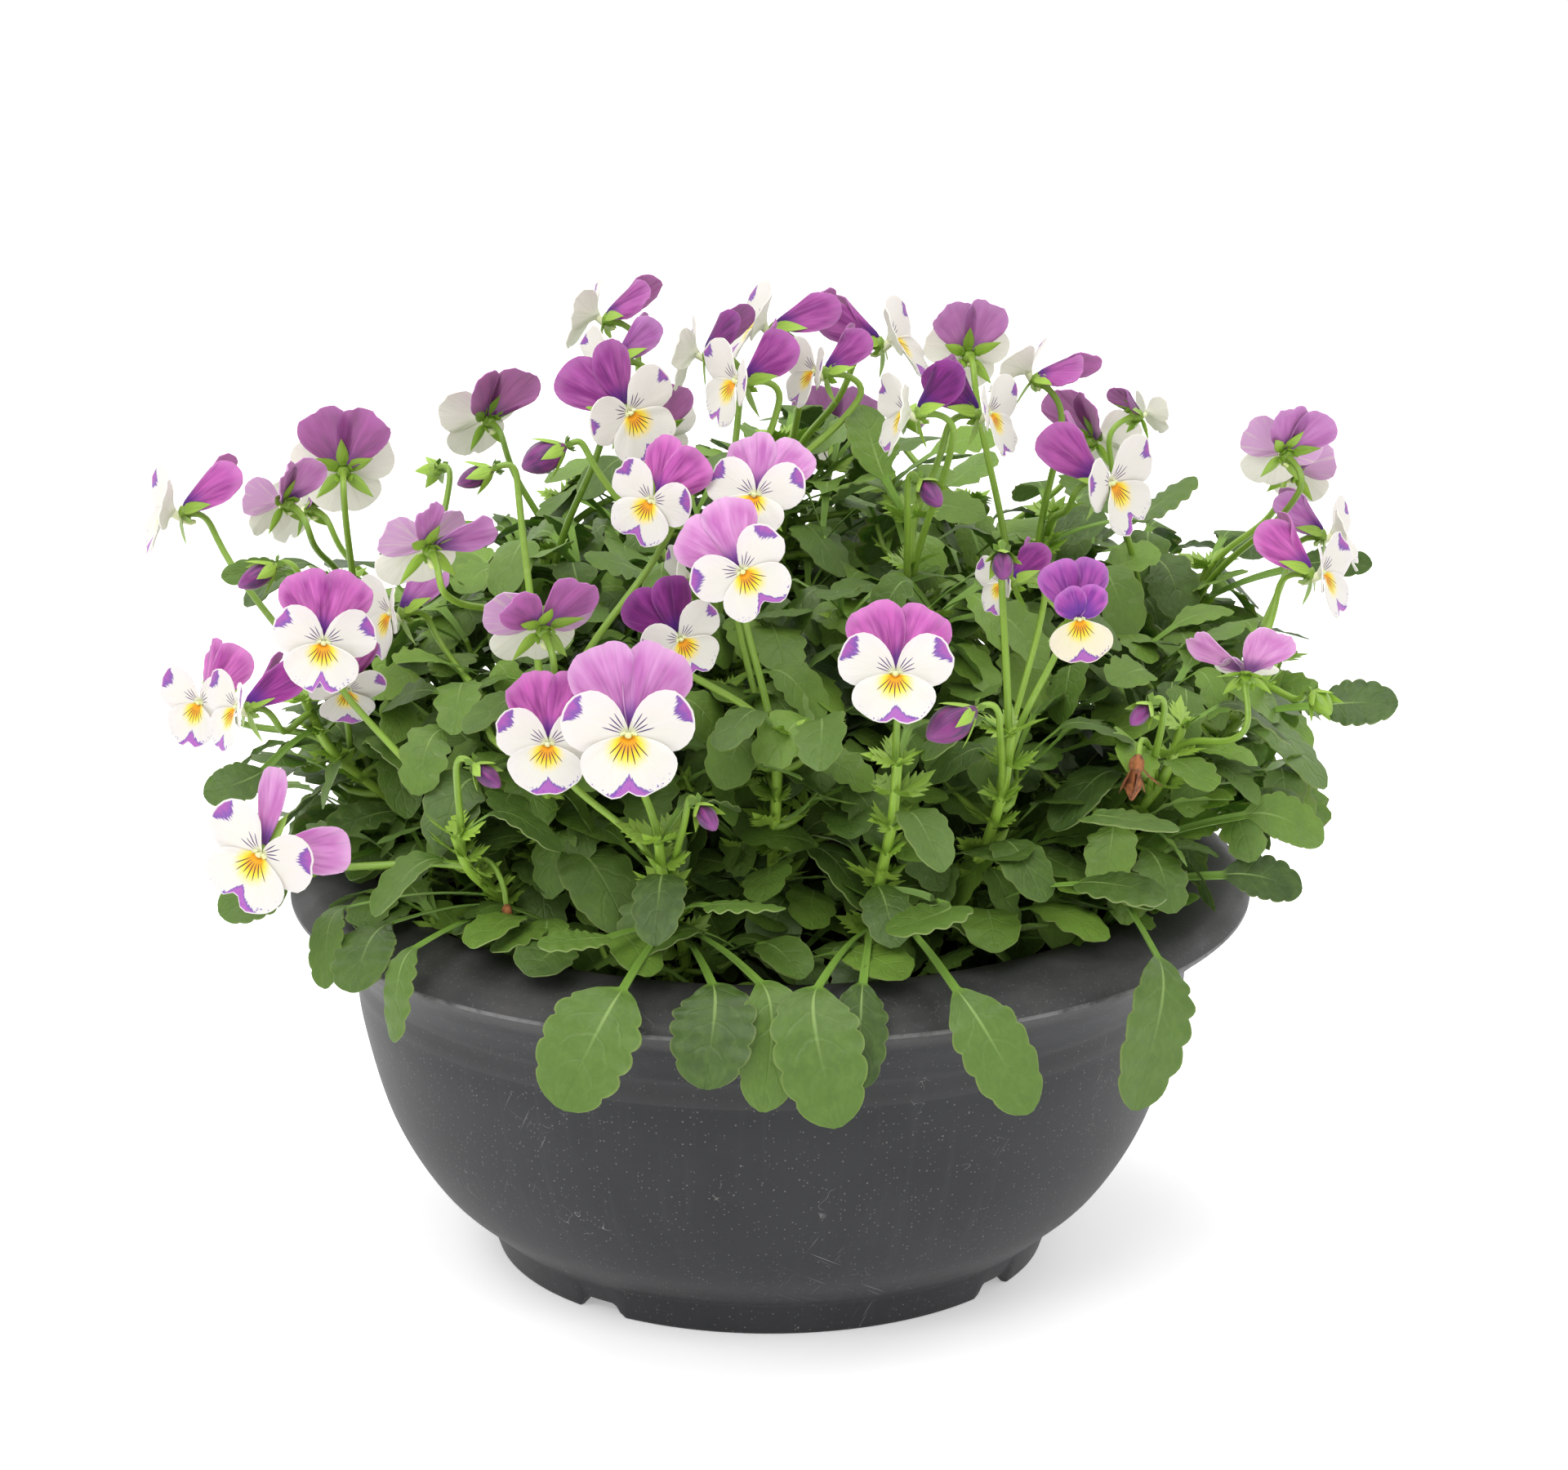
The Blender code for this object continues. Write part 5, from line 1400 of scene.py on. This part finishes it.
canopy = np.random.default_rng(23)
green_parts = {node: [] for node in STEMS}
added = 0
for place, light in shoot_tips(canopy):
    node, line = shoot(place)
    if clear_of(line[3:]) and above_bowl(line):
        green_parts[node].append(bar(line, np.linspace(1.2, 0.8, len(line)), 6, canopy.uniform(0.3, 0.7)))
        whorl = whorl_parts(line, canopy, WHORL, light)
        green_parts[node] += whorl
        green_parts[node] += stipule_parts(along(line, 0.86), turned(canopy.uniform(0, 360)), canopy, 1.0)
        added += len(whorl)
print("leaves on side shoots", added)

# %% [markdown]
# Small low leaves lie over the collar's inner edge all round, three from each short shoot.
# %% Leaves over the collar
COLLAR_SHOOTS = 34


def collar_leaves(azimuth, draw):
    """A short shoot inside the collar and three small leaves that lie outwards over it."""
    node, line = shoot(turned(azimuth) * draw.uniform(92, 102) + vec(0, 0, draw.uniform(112, 120)))
    parts = [bar(line, 0.9, 6, 0.5)]
    for turn in (-34, 2, 38):
        out = turned(azimuth + turn + draw.uniform(-12, 12))
        foot = line[-1] + out * draw.uniform(8, 15) + vec(0, 0, draw.uniform(3, 8))
        tip = foot + (out - vec(0, 0, draw.uniform(0.0, 0.5))) * draw.uniform(15, 23)
        arch = vec(0, 0, 1.5)
        probe = np.array([foot, (foot + tip) / 2 + arch, tip]) - vec(0, 0, 2)
        if clear_of(probe) and above_bowl(probe) and in_the_box(probe):
            face = out * 0.5 + vec(0, 0, 0.8)
            parts.append(leaf_part(line[-1], foot, tip, draw.uniform(12, 18), draw, draw.uniform(0.3, 0.9),
                                   (3, 15), 5, 4, draw.uniform(-16, 16), face))
    return node, parts


for index in range(COLLAR_SHOOTS):
    node, parts = collar_leaves(360 * index / COLLAR_SHOOTS, canopy)
    green_parts[node] += parts

# %% [markdown]
# The crown shoots' leaves lean outwards, so a few low rosettes close the view to the soil there.
# %% Leaves in the middle
MIDDLE_TIPS = ((0, 9, 152), (-13, 3, 142), (13, 17, 146), (3, -12, 140), (10, 1, 130))


def middle_leaves(place, draw):
    """A short shoot in the bowl's middle and six leaves that spread evenly from its tip."""
    node, line = shoot(vec(*place))
    parts = [bar(line, 0.9, 6, 0.5)]
    turn = draw.uniform(0, 360)
    for _ in range(6):
        turn += GOLDEN
        out = turned(turn)
        foot = line[-1] + out * draw.uniform(3, 7) + vec(0, 0, draw.uniform(-6, 4))
        tip = foot + (out + vec(0, 0, draw.uniform(-0.1, 0.5))) * draw.uniform(15, 22)
        if clear_of(np.array([foot, (foot + tip) / 2, tip])):
            parts.append(leaf_part(line[-1], foot, tip, draw.uniform(12, 17), draw, draw.uniform(0.1, 0.6),
                                   (3, 15), 5, 4, draw.uniform(-20, 20)))
    return node, parts


for place in MIDDLE_TIPS:
    node, parts = middle_leaves(place, canopy)
    green_parts[node] += parts

# %% [markdown]
# Now the stems themselves and everything that the plan put on them. The large front leaves get
# the finest mesh because they hang in plain view over the collar. They are lighter than the rest.
# %% Leafy stems
DEAD_BLOOMS = (("stem_right_front", (97, -84, 168), (-0.15, -0.2, -1), 12),
               ("stem_left_front", (-70, -88, 128), (0.3, -0.3, -1), 8))
growth = np.random.default_rng(5)
for node, branches in paths.items():
    for number, path in enumerate(branches):
        # the first path of a stem starts with its straight root, which stays out of the curve
        line = spline(path, 6) if number else np.concatenate([path[:1], spline(path[1:], 6)])
        green_parts[node].append(bar(line, np.linspace(*STEM_RADIUS, len(line)), 10, 0.8, ridge=0.05))
        for share in np.linspace(0.3, 1.0, 8):
            spot, turn = along(path, share), growth.uniform(0, 360)
            green_parts[node] += stipule_parts(spot, turned(turn), growth, 1.45, 3)
            green_parts[node] += stipule_parts(spot, turned(turn + 180), growth, 1.2)
for leaf in leaves:
    # painted shade: large leaves that hang low draw a darker mood than the others
    low = leaf["tip"][2] < 125
    mood = growth.uniform(0.2, 0.6) if low else growth.uniform(0.2, 0.75)
    rows, columns = ((8, 37), 7) if leaf["large"] else ((4, 21), 5)
    teeth = 6 if leaf["large"] else 5
    steep = 0.9 if leaf["large"] and low else 0.0
    face = unit(vec(*leaf["foot"][:2], 0)) * steep + vec(0, 0, 1 - 0.45 * steep)
    if leaf["large"] and abs(leaf["tip"][0]) > 130:
        face = vec(0, -0.9, 0.6)
    root, foot, tip = leaf["root"], leaf["foot"], leaf["tip"]
    green_parts[leaf["node"]].append(leaf_part(root, foot, tip, leaf["breadth"], growth, mood, rows, columns,
                                               teeth, face=face))
    out = unit(foot - root)
    green_parts[leaf["node"]] += stipule_parts(root + out * 1.5, out, growth, 0.9)
for stalk in stalks:
    green_parts[stalk["node"]] += stalk_parts(stalk, growth)
for index, bud in enumerate(buds):
    green_parts[bud["node"]] += bud_parts(bud, growth, index)
for node, spot, heading, length in DEAD_BLOOMS:
    start = along(paths[node][0], 0.8)
    hang = bezier(start, start + vec(0, 0, 10), vec(*spot) + vec(0, 0, 10), vec(*spot), 9)
    green_parts[node].append(bar(hang, 0.8, 6, 0.5))
    green_parts[node] += dead_bloom_parts(vec(*spot), unit(vec(*heading)), length, growth)
for node, parts in green_parts.items():
    build_piece(node + "_foliage", parts, GREEN, "foliage", (node,), smooth=70)
    print(node, "triangles", made[node + "_foliage"])

# %% [markdown]
# ## Petals
# A bloom has five petals in three layers: two broad upper ones at the back, two side ones, and
# the lip in front. Each petal is a fan in polar form. Its edge is a reach for every direction,
# and between the throat and the edge the points are spaced nearly evenly. The pattern coordinates
# are the flat place in the bloom, in millimetres of a full-size bloom, so that the markings can be
# written as formulas of angle and distance from the throat.
# %% Petal outlines
UPPER = dict(axis=66, half=37, length=24.2, fall=4.0, power=0.50)
SIDE = dict(axis=21, half=60, length=17.8, fall=2.5, power=0.80)
LIP = dict(axis=270, half=82, length=16.6, fall=5.0, power=0.50)
PATTERN_SPAN = 60.0             # millimetres across the pattern coordinates
PETAL_THICK = 0.32


def petal_part(petal, stalk, look, mirror=False):
    """One petal: reach = length (1 - |t|^fall)^power over the angle axis + half * t.

    The rows go out from the throat as a share of the reach. The petal leans by an angle, cups
    along its length, droops at its sides and ripples at its edge, all as functions of t and share.
    """
    rows, columns = look["grid"]
    t = np.sin(np.linspace(-np.pi / 2, np.pi / 2, columns)) * 0.9995
    reach = petal["length"] * (1 - np.abs(t) ** petal["fall"]) ** petal["power"]
    reach = reach * (1 + look["bias"] * t)
    reach = reach * (1 - look["notch"] * np.exp(-((t - look["notch_at"]) / look["notch_width"]) ** 2))
    wave, phase = look["waves"] * t, look["phase"]
    frill = look["frill"] * np.sin(wave + phase) + 0.5 * look["frill"] * np.sin(2.7 * wave + 2 * phase)
    reach = reach + frill * 0.8 * (1 - t ** 4)
    angle = np.radians(petal["axis"] + look["turn"] + petal["half"] * t)
    # the columns always run clockwise, so that the front skin looks out of the bloom
    if mirror:
        angle = np.pi - angle
    else:
        angle, reach, t, frill = angle[::-1], reach[::-1], t[::-1], frill[::-1]
    share = np.linspace(0, 1, rows)[:, None] ** 0.9
    r = 0.5 + share * np.maximum(reach - 0.5, 0.02)[None, :]
    lean = np.radians(look["lean"])
    flat = r * np.cos(lean)
    high = look["layer"] + r * np.sin(lean)
    high = high - look["droop"] * (t ** 2)[None, :] * r - look["cup"] * (r / petal["length"]) ** 2
    high = high + frill[None, :] * share ** 3 * 1.5 - 1.5 * np.exp(-(r / 2.2) ** 2)
    high = high + look["pleat"] * np.sin(9 * t)[None, :] * share * (1 - share) * 2
    aside = flat * np.cos(angle)
    high = high + np.abs(aside) * np.tan(np.radians(look["fold"]))
    local = np.stack([aside, flat * np.sin(angle), high], axis=-1) * stalk["size"]
    local[..., 2] += (1 - stalk["size"]) * look["layer"]
    uv = 0.5 + np.stack([r * np.cos(angle), r * np.sin(angle)], axis=-1) / PATTERN_SPAN
    sheet = stalk["throat"] + local @ stalk["axes"]
    return thin_shell(sheet, uv, PETAL_THICK, stalk["mood"], np.broadcast_to(share, r.shape), look["finish"])


fan = 1 - np.abs(np.linspace(-0.9, 0.9, 5)) ** UPPER["fall"]
print("reach of an upper petal across its fan:", np.round(UPPER["length"] * fan ** UPPER["power"], 1))

# %% [markdown]
# A bloom lays its petals over each other, each in a layer of its own. Some blooms have grown in
# a way of their own. Upper: how far each upper petal, the right one first, has swung away from
# the middle, and how broad it is. Lilac and violet: the side petals are tinted, or coloured like
# the upper ones.
# %% One bloom
HABITS = {
    15: dict(lilac=True, upper_size=0.95),
    16: dict(lilac=True),
    19: dict(lilac=True, upper_lean=30, upper_size=1.05, side_size=0.6, pleat=0.0,
             upper=((36, 0.8), (10, 1.15))),
    20: dict(violet=True, upper_size=0.92, side_turn=38, side_size=0.8),
    27: dict(lilac=True, upper_size=0.82, side_size=0.8, upper=((-6, 0.7), (30, 0.7))),
    29: dict(lilac=True, upper_size=0.95),
    34: dict(upper=((10, 0.9), (10, 0.7))),
    36: dict(lilac=True, upper_size=0.86, side_size=0.95, upper=((14, 0.8), (4, 0.9))),
    40: dict(upper=((38, 0.8), (-6, 0.5))),
}
UPPER_FACE, SIDE_FACE, LIP_FACE, THROAT = range(4)
SPUR = [(0, -0.6, -0.6), (0, -1.6, -2.6), (0, -2.6, -4.6), (0, -3.0, -6.6), (0, -2.6, -8.0)]
KNOB = [(0, 0.2, -1.2), (0, 0.15, -0.2), (0, 0.05, 0.5), (0, -0.15, 0.95), (0, -0.4, 1.15)]


def throat_bars():
    """The spur behind, the knob in the throat, and a tuft of pale hairs at the foot of each side petal.

    Each is a line in the bloom's own axes with its radii and its number of sides.
    """
    bars = [(SPUR, (1.5, 1.35, 1.15, 1.0, 0.55), 8), (KNOB, (0.5, 0.55, 0.8, 0.95, 0.45), 8)]
    for hand in (-1, 1):
        for k in range(5):
            foot = vec(hand * (1.1 + 0.28 * k), 0.75 - 0.12 * k + 0.1 * (k % 2), -0.1)
            hair = [foot, foot + [-0.2 * hand, -0.2, 0.8], foot + [-0.45 * hand, -0.45, 1.25]]
            bars.append((hair, (0.2, 0.17, 0.08), 4))
    return bars


def bloom_parts(stalk, draw):
    """Two upper petals, two side petals, the lip, and the bars in and behind the throat."""
    deep = stalk["throat"][1] > 5 or stalk["throat"][2] > 245    # at the back or the top
    stalk["mood"] = draw.uniform(0, 1) * (0.25 if deep else 0.75) + (0.0 if deep else 0.25)
    sweep = stalk["sweep"]
    sideways = abs(np.cos(np.radians(stalk["facing"]))) ** 1.5
    plain = dict(fold=0.0, bias=0.0, notch=0.0, notch_at=0.0, notch_width=0.1, waves=7)

    def look(**changes):
        free = dict(phase=draw.uniform(0, 6), turn=draw.uniform(-3, 3), frill=draw.uniform(0.15, 0.4))
        return {**plain, **free, **changes}

    parts = []
    habit = HABITS.get(stalk["number"], {})
    for mirror, layer in ((False, -1.5), (True, -2.0)):
        apart, broad = habit.get("upper", ((0, 1), (0, 1)))[mirror]
        shape = {**UPPER, "axis": UPPER["axis"] - apart, "half": (UPPER["half"] + 9 * sideways) * broad,
                 "length": UPPER["length"] * habit.get("upper_size", 1.0) * (1 - 0.08 * sideways),
                 "fall": UPPER["fall"] - 2.0 * sideways, "power": UPPER["power"] + 0.35 * sideways}
        parts.append(petal_part(shape, stalk, look(
            grid=(13, 29),
            lean=-sweep * (1 - 0.35 * sideways) + draw.uniform(-3, 2) + habit.get("upper_lean", 0),
            layer=layer, fold=-38 * sideways, frill=draw.uniform(0.25, 0.6),
            waves=draw.uniform(7, 10), droop=draw.uniform(0.02, 0.10), cup=draw.uniform(-1.0, 1.6),
            pleat=habit.get("pleat", 0.22), finish=UPPER_FACE, bias=0.04), mirror))
    for mirror in (False, True):
        shape = {**SIDE, "axis": SIDE["axis"] + habit.get("side_turn", 0),
                 "length": SIDE["length"] * habit.get("side_size", 1.0)}
        parts.append(petal_part(shape, stalk, look(
            grid=(12, 25), fold=16 * sideways, lean=4 + draw.uniform(-3, 5), layer=0.1 + 0.12 * mirror,
            droop=draw.uniform(0.02, 0.09), cup=draw.uniform(0.2, 1.4), pleat=0.08, finish=SIDE_FACE,
            notch=draw.uniform(0, 0.05), notch_at=draw.uniform(-0.2, 0.2)), mirror))
    parts.append(petal_part(LIP, stalk, look(
        grid=(13, 35), lean=10 + 0.4 * sweep, layer=0.6, droop=draw.uniform(0.03, 0.10),
        cup=draw.uniform(0.4, 1.8), notch=draw.uniform(0.06, 0.30), notch_width=draw.uniform(0.05, 0.16),
        notch_at=draw.uniform(-0.06, 0.06), pleat=0.06, finish=LIP_FACE, turn=draw.uniform(-2, 2))))
    for line, radii, sides in throat_bars():
        path = stalk["throat"] + np.array(line) * stalk["size"] @ stalk["axes"]
        parts.append(bar(path, np.array(radii) * stalk["size"], sides, stalk["mood"], finish=THROAT))
    return parts


print("bars in and behind the throat", len(throat_bars()))

# %% [markdown]
# ## Petal finishes
# Every mark on a petal is a formula in the polar coordinates of the bloom, softened by a noise
# that is stretched along the rays, because pigment follows the veins.
# %% Polar coordinates and rays
class PetalNet(Net):
    """A finish whose patterns are written in the bloom's polar coordinates."""

    def __init__(self, name, rough=0.6):
        super().__init__(name, rough, Specular_IOR_Level=0.3, Sheen_Weight=0.12, Sheen_Roughness=0.4,
                         Subsurface_Weight=0.35, Subsurface_Scale=0.003, Subsurface_Radius=(1.0, 0.8, 0.9))
        u, v = self.pattern()
        self.x = (u - 0.5) * PATTERN_SPAN
        self.y = (v - 0.5) * PATTERN_SPAN
        self.r = self.math("SQRT", self.x * self.x + self.y * self.y)
        self.mood, self.back, self.share = self.paint("mood"), self.paint("back"), self.paint("share")
        self.front = 1.0 - self.back

    def rays(self, angle, fineness, length, detail=3.0):
        """Noise that changes quickly with the angle and slowly along the ray."""
        vector = self.join(angle * fineness, self.r * length, self.mood * 37.0)
        return self.noise(vector, 1.0, detail, 0.6)

    def whiskers(self, angle, spacing, reach_low, reach_high, thick):
        """Evenly spaced rays: a line where the angle is near a multiple of the spacing, tapering out."""
        slot = self.math("ROUND", self.math("DIVIDE", angle, spacing))
        off = self.math("ABSOLUTE", angle - slot * spacing)
        aside = off * self.r
        vary = self.math("SINE", slot * 2.3 + self.mood * 9.0) * 0.7
        along_ray = self.math("DIVIDE", self.r - reach_low, reach_high + vary - reach_low)
        hump = along_ray * (1.0 - along_ray) * 4.0
        wide = self.math("SQRT", self.math("MAXIMUM", hump, 0.0)) * thick
        return self.step(wide - aside, 0.0, 0.07)


# %% [markdown]
# The upper petals are magenta purple to orchid with darker veins that fan out from the throat,
# a violet foot, and a paler rim. Drawn lines would look too regular, so the veins are the noise
# along the rays, and one function makes every family from its deep, light and rim colours.
# %% Upper petals
def upper_petal(name, deep, light, rim):
    """Radial veins between a deep and a light tone; violet foot; pale rim; the back greyer."""
    net = PetalNet(name, 0.55)
    angle = net.math("ARCTAN2", net.x, net.y)
    veins = net.rays(angle, 15.0, 0.05)
    broad = net.rays(angle, 4.0, 0.06, 2.0)
    colour = net.mix(net.step(broad, 0.30, 0.70), deep, light)
    shadow = (*(0.45 * c for c in deep[:3]), 1.0)
    colour = net.mix(net.step(veins, 0.5, 0.72) * 0.42, colour, shadow)
    colour = net.mix(net.step(veins, 0.46, 0.3) * 0.25, colour, rim)
    foot = net.step(net.r + (veins - 0.5) * 5.0, 10.5, 4.0)
    colour = net.mix(foot * 0.85, colour, hue(84, 34, 140))
    edge = net.step(net.share + (veins - 0.5) * 0.2, 0.8, 1.0)
    colour = net.mix(edge * 0.45, colour, rim)
    vary = net.mix(net.mood, hue(188, 164, 200), hue(255, 255, 255))
    colour = net.mix(1.0, colour, vary, "MULTIPLY")
    colour = net.mix(net.back * 0.3, colour, hue(162, 96, 154))
    net.bump(veins * 1.0 + broad * 0.6, 0.35, 0.0006)
    return net.done(colour)


# %% [markdown]
# The others are white. Each side petal has a feathered violet blotch near its tip and four fine
# dark whiskers near the throat. The lip has a yellow eye, orange at the centre, seven whiskers,
# and a purple wedge at its notch that breaks up into specks along the rim. An image would be the
# same on every bloom, but in a formula the mood can shift a mark and make it larger or smaller.
# %% White petals and their marks
# painted light: the back of a white petal is paler than its front, standing in for the light it lacks
PAINTED_LIGHT_BACK = hue(236, 234, 216)    # the back of a white petal


def white_base(net, white, angle, backing):
    """The white ground: faint radial veins, a trace of lilac, a green tint at the throat, and the back's
    colour, on white petals a painted light.
    """
    veins = net.rays(angle, 13.0, 0.06)
    colour = net.mix(net.step(veins, 0.52, 0.72) * 0.16, white, hue(222, 214, 226))
    lilac = net.step(net.share, 0.5, 1.0) * (net.mood * 0.14)
    colour = net.mix(lilac, colour, hue(214, 190, 230))
    colour = net.mix(net.step(net.r, 3.4, 1.2) * 0.6, colour, hue(222, 226, 160))
    # painted light on white and cream petals: their backs are paler than the front
    colour = net.mix(net.back * 0.8, colour, backing)
    colour = net.mix(net.back * net.step(veins, 0.5, 0.7) * 0.4, colour, hue(206, 206, 176))
    net.bump(veins, 0.22, 0.0005)
    return colour


def side_petal(name, white, backing=PAINTED_LIGHT_BACK):
    """White with four whiskers and a feathered violet blotch inside the tip."""
    net = PetalNet(name)
    angle = net.math("ARCTAN2", net.y, net.math("ABSOLUTE", net.x))
    colour = white_base(net, white, angle, backing)
    rays = net.rays(angle, 24.0, 0.16, 4.0)
    middle = 0.3 + net.mood * 0.2
    aside = net.math("DIVIDE", net.math("ABSOLUTE", angle - middle), 0.19 + net.mood * 0.12)
    inner = 0.75 + aside * aside * 0.28 + (rays - 0.5) * 0.36
    inner = inner - net.mood * 0.07
    blotch = net.step(net.share - inner, 0.0, 0.06) * net.step(net.share, 0.985, 0.955)
    blotch = blotch * net.front
    tone = net.mix(net.step(net.share - inner, 0.05, 0.24), hue(92, 36, 144), hue(142, 46, 148))
    colour = net.mix(blotch * 0.94, colour, tone)
    lines = net.whiskers(angle - 0.06, 0.235, 2.0, 6.6, 0.2)
    near = net.step(angle, 0.2, 0.26) * net.step(angle, 1.12, 1.06)
    colour = net.mix(lines * near * net.front, colour, hue(54, 30, 92))
    return net.done(colour)


def lip_petal(name, white):
    """White with an orange and yellow eye, whiskers, a purple wedge at the notch and rim specks."""
    net = PetalNet(name)
    angle = net.math("ARCTAN2", net.x, net.y * -1.0)      # 0 down the middle of the lip
    colour = white_base(net, white, angle, PAINTED_LIGHT_BACK)
    rays = net.rays(angle, 22.0, 0.20, 4.0)
    spread = angle * angle * 1.9
    feather = (rays - 0.5) * 3.6
    eye = net.r + spread + feather
    colour = net.mix(net.step(eye, 10.0, 5.6) * net.front, colour, hue(240, 206, 46))
    colour = net.mix(net.step(eye, 6.4, 3.6) * net.front, colour, hue(236, 148, 14))
    aside = net.math("ABSOLUTE", angle - (net.mood - 0.5) * 0.22)
    limit = 0.72 - net.mood * 0.1 + aside * 0.8 + (rays - 0.5) * 0.22
    depth = net.share - limit
    wedge = net.step(depth, 0.0, 0.035) * net.step(net.share, 0.992, 0.968)
    dots = net.noise(net.join(angle * 13.0, net.share * 15.0, net.mood * 21.0), 1.3, 3.0)
    near_rim = net.step(net.share, 0.86, 0.9) * net.step(aside, 0.95, 0.6)
    specks = net.step(dots, 0.58, 0.64) * near_rim * net.step(net.share, 0.99, 0.96)
    tone = net.mix(net.step(depth, 0.03, 0.12), hue(90, 44, 150), hue(150, 62, 164))
    colour = net.mix(specks * net.front * 0.85, colour, hue(86, 50, 160))
    colour = net.mix(wedge * net.front * 0.93, colour, tone)
    lines = net.whiskers(angle, 0.26, 2.4, 7.4, 0.21)
    near = net.step(net.math("ABSOLUTE", angle), 0.84, 0.78)
    colour = net.mix(lines * near * net.front, colour, hue(44, 22, 40))
    return net.done(colour)


def throat_finish():
    """Greenish white with a hint of violet further back, for the spur, the knob and the hairs."""
    net = Net("throat", rough=0.55, Specular_IOR_Level=0.3)
    colour = net.mix(net.pattern()[1], hue(232, 234, 196), hue(214, 226, 150))
    violet = net.step(net.noise(net.place(), 700.0, 2.0), 0.45, 0.65)
    colour = net.mix(violet * 0.25, colour, hue(198, 176, 214))
    return net.done(colour)


WHITE, CREAM = hue(214, 208, 200), hue(222, 210, 178)
throat_end = throat_finish()
sides = {"white": side_petal("side_petal_white", WHITE), "cream": side_petal("side_petal_cream", CREAM)}
lips = {"white": lip_petal("lip_petal_white", WHITE), "cream": lip_petal("lip_petal_cream", CREAM)}
sides["lilac"] = side_petal("side_petal_lilac", hue(200, 160, 200), hue(190, 140, 186))
uppers = {
    "purple": upper_petal("upper_petal_purple", hue(140, 42, 128), hue(196, 88, 174), hue(212, 134, 196)),
    "orchid": upper_petal("upper_petal_orchid", hue(184, 98, 172), hue(214, 144, 202), hue(226, 184, 218)),
    "dark": upper_petal("upper_petal_dark", hue(96, 18, 98), hue(140, 38, 130), hue(176, 86, 168)),
    "cream": upper_petal("upper_petal_violet", hue(116, 38, 134), hue(166, 66, 164), hue(192, 122, 196)),
}
print("petal finishes", len(uppers) + len(sides) + len(lips))

# %% [markdown]
# Forty-five blooms follow, each from its line in the plan, each with its own seeded draws for the
# frill of the edges, the depth of the lip's notch and the size of the marks.
# %% All blooms
for stalk, name in zip(stalks, bloom_names):
    draw = np.random.default_rng(100 + stalk["number"])
    ground = "cream" if stalk["tint"] == "cream" else "white"
    habit = HABITS.get(stalk["number"], {})
    side = uppers[stalk["tint"]] if "violet" in habit else sides["lilac" if "lilac" in habit else ground]
    finishes = [uppers[stalk["tint"]], side, lips[ground], throat_end]
    build_piece(name + "_petals", bloom_parts(stalk, draw), finishes, "petal_" + stalk["tint"], (name,),
                smooth=75)
print("bloom triangles", sum(count for word, count in made.items() if word.startswith("bloom")))

# %% [markdown]
# ## The stage
# The planter stands on a plain pale floor that runs on far behind it. The light is that of a
# product table: large soft panels above and at the front left, weaker ones at the right and
# behind, and a white surrounding that fills the shadows. The floor is the milky sheet of such a
# table: it glows a little, so that only a soft shadow is left where the bowl stands.
# %% Floor, light and surroundings
def stage_floor():
    """A wide flat square with a nearly white, very faintly mottled finish that glows a little."""
    half = 60.0
    square = [(-half, -half, 0), (half, -half, 0), (half, half, 0), (-half, half, 0)]
    mesh = bpy.data.meshes.new("floor")
    mesh.from_pydata(square, [], [(0, 1, 2, 3)])
    floor = stand("floor", mesh)
    net = Net("pale_floor", rough=0.7, Specular_IOR_Level=0.2, Emission_Strength=0.36,
              Emission_Color=(1, 1, 1, 1))
    shade = net.noise(net.place(), 3.0, 3.0)
    mesh.materials.append(net.done(net.mix(shade, hue(246, 246, 246), hue(250, 250, 250))))


def aim(thing, right, up, back, place):
    """Stands a light or a camera at a place, with its own axes to the right, up and back."""
    thing.matrix_world = Matrix([*zip(right, up, back, place), (0, 0, 0, 1)])


def panel(name, place, target, size, power):
    """A square soft light that looks at the target."""
    light = bpy.data.lights.new(name, "AREA")
    light.shape, light.size, light.energy = "SQUARE", size, power
    back = unit(vec(*place) - vec(*target))
    right = unit(np.cross(vec(0, 0, 1), back))
    aim(stand(name, light), right, np.cross(back, right), back, place)


stage_floor()
panel("key", (-0.55, -1.0, 1.3), (0, 0, 0.12), 1.0, 13)
panel("fill", (1.3, -0.9, 0.8), (0, 0, 0.12), 1.1, 3)
panel("back_left", (-1.0, 1.1, 1.1), (0, 0, 0.15), 1.0, 8)
panel("back_right", (1.1, 1.0, 0.9), (0, 0, 0.15), 1.0, 6)
panel("top", (0.1, -0.15, 1.7), (0, 0, 0.1), 1.2, 12)
world = bpy.data.worlds.new("white_surround")
world.use_nodes = True
background = world.node_tree.nodes["Background"]
background.inputs["Color"].default_value = (1, 1, 1, 1)
background.inputs["Strength"].default_value = 0.68
bpy.context.scene.world = world
bpy.context.scene.view_settings.view_transform = "Standard"

# %% [markdown]
# The camera looks down at the planter by a little under twenty degrees, from far enough away that
# the bowl keeps its true proportions. The frame is a little wider than high, and its shift puts
# the bowl low in it.
# %% Camera
LOOK_DOWN, DISTANCE, FOCUS = np.radians(19.65), 1.5, vec(0, 0, 0.06)
back = vec(0, -np.cos(LOOK_DOWN), np.sin(LOOK_DOWN))
up = vec(0, np.sin(LOOK_DOWN), np.cos(LOOK_DOWN))
eye = FOCUS + back * DISTANCE
lens = bpy.data.cameras.new("camera")
lens.sensor_width, lens.lens = 36, 120.7
lens.shift_x, lens.shift_y = 0.0088, 0.1907
camera = stand("camera", lens)
aim(camera, (1, 0, 0), up, back, eye)
bpy.context.scene.camera = camera
print("camera at", np.round(eye, 3), "lens", lens.lens)

# %% [markdown]
# ## Measure and finish
# The finer pieces must not change the planter's size. The last cell counts the triangles of all the pieces.
# %% Sizes
print("triangles in all", sum(made.values()), "in", len(made), "pieces")
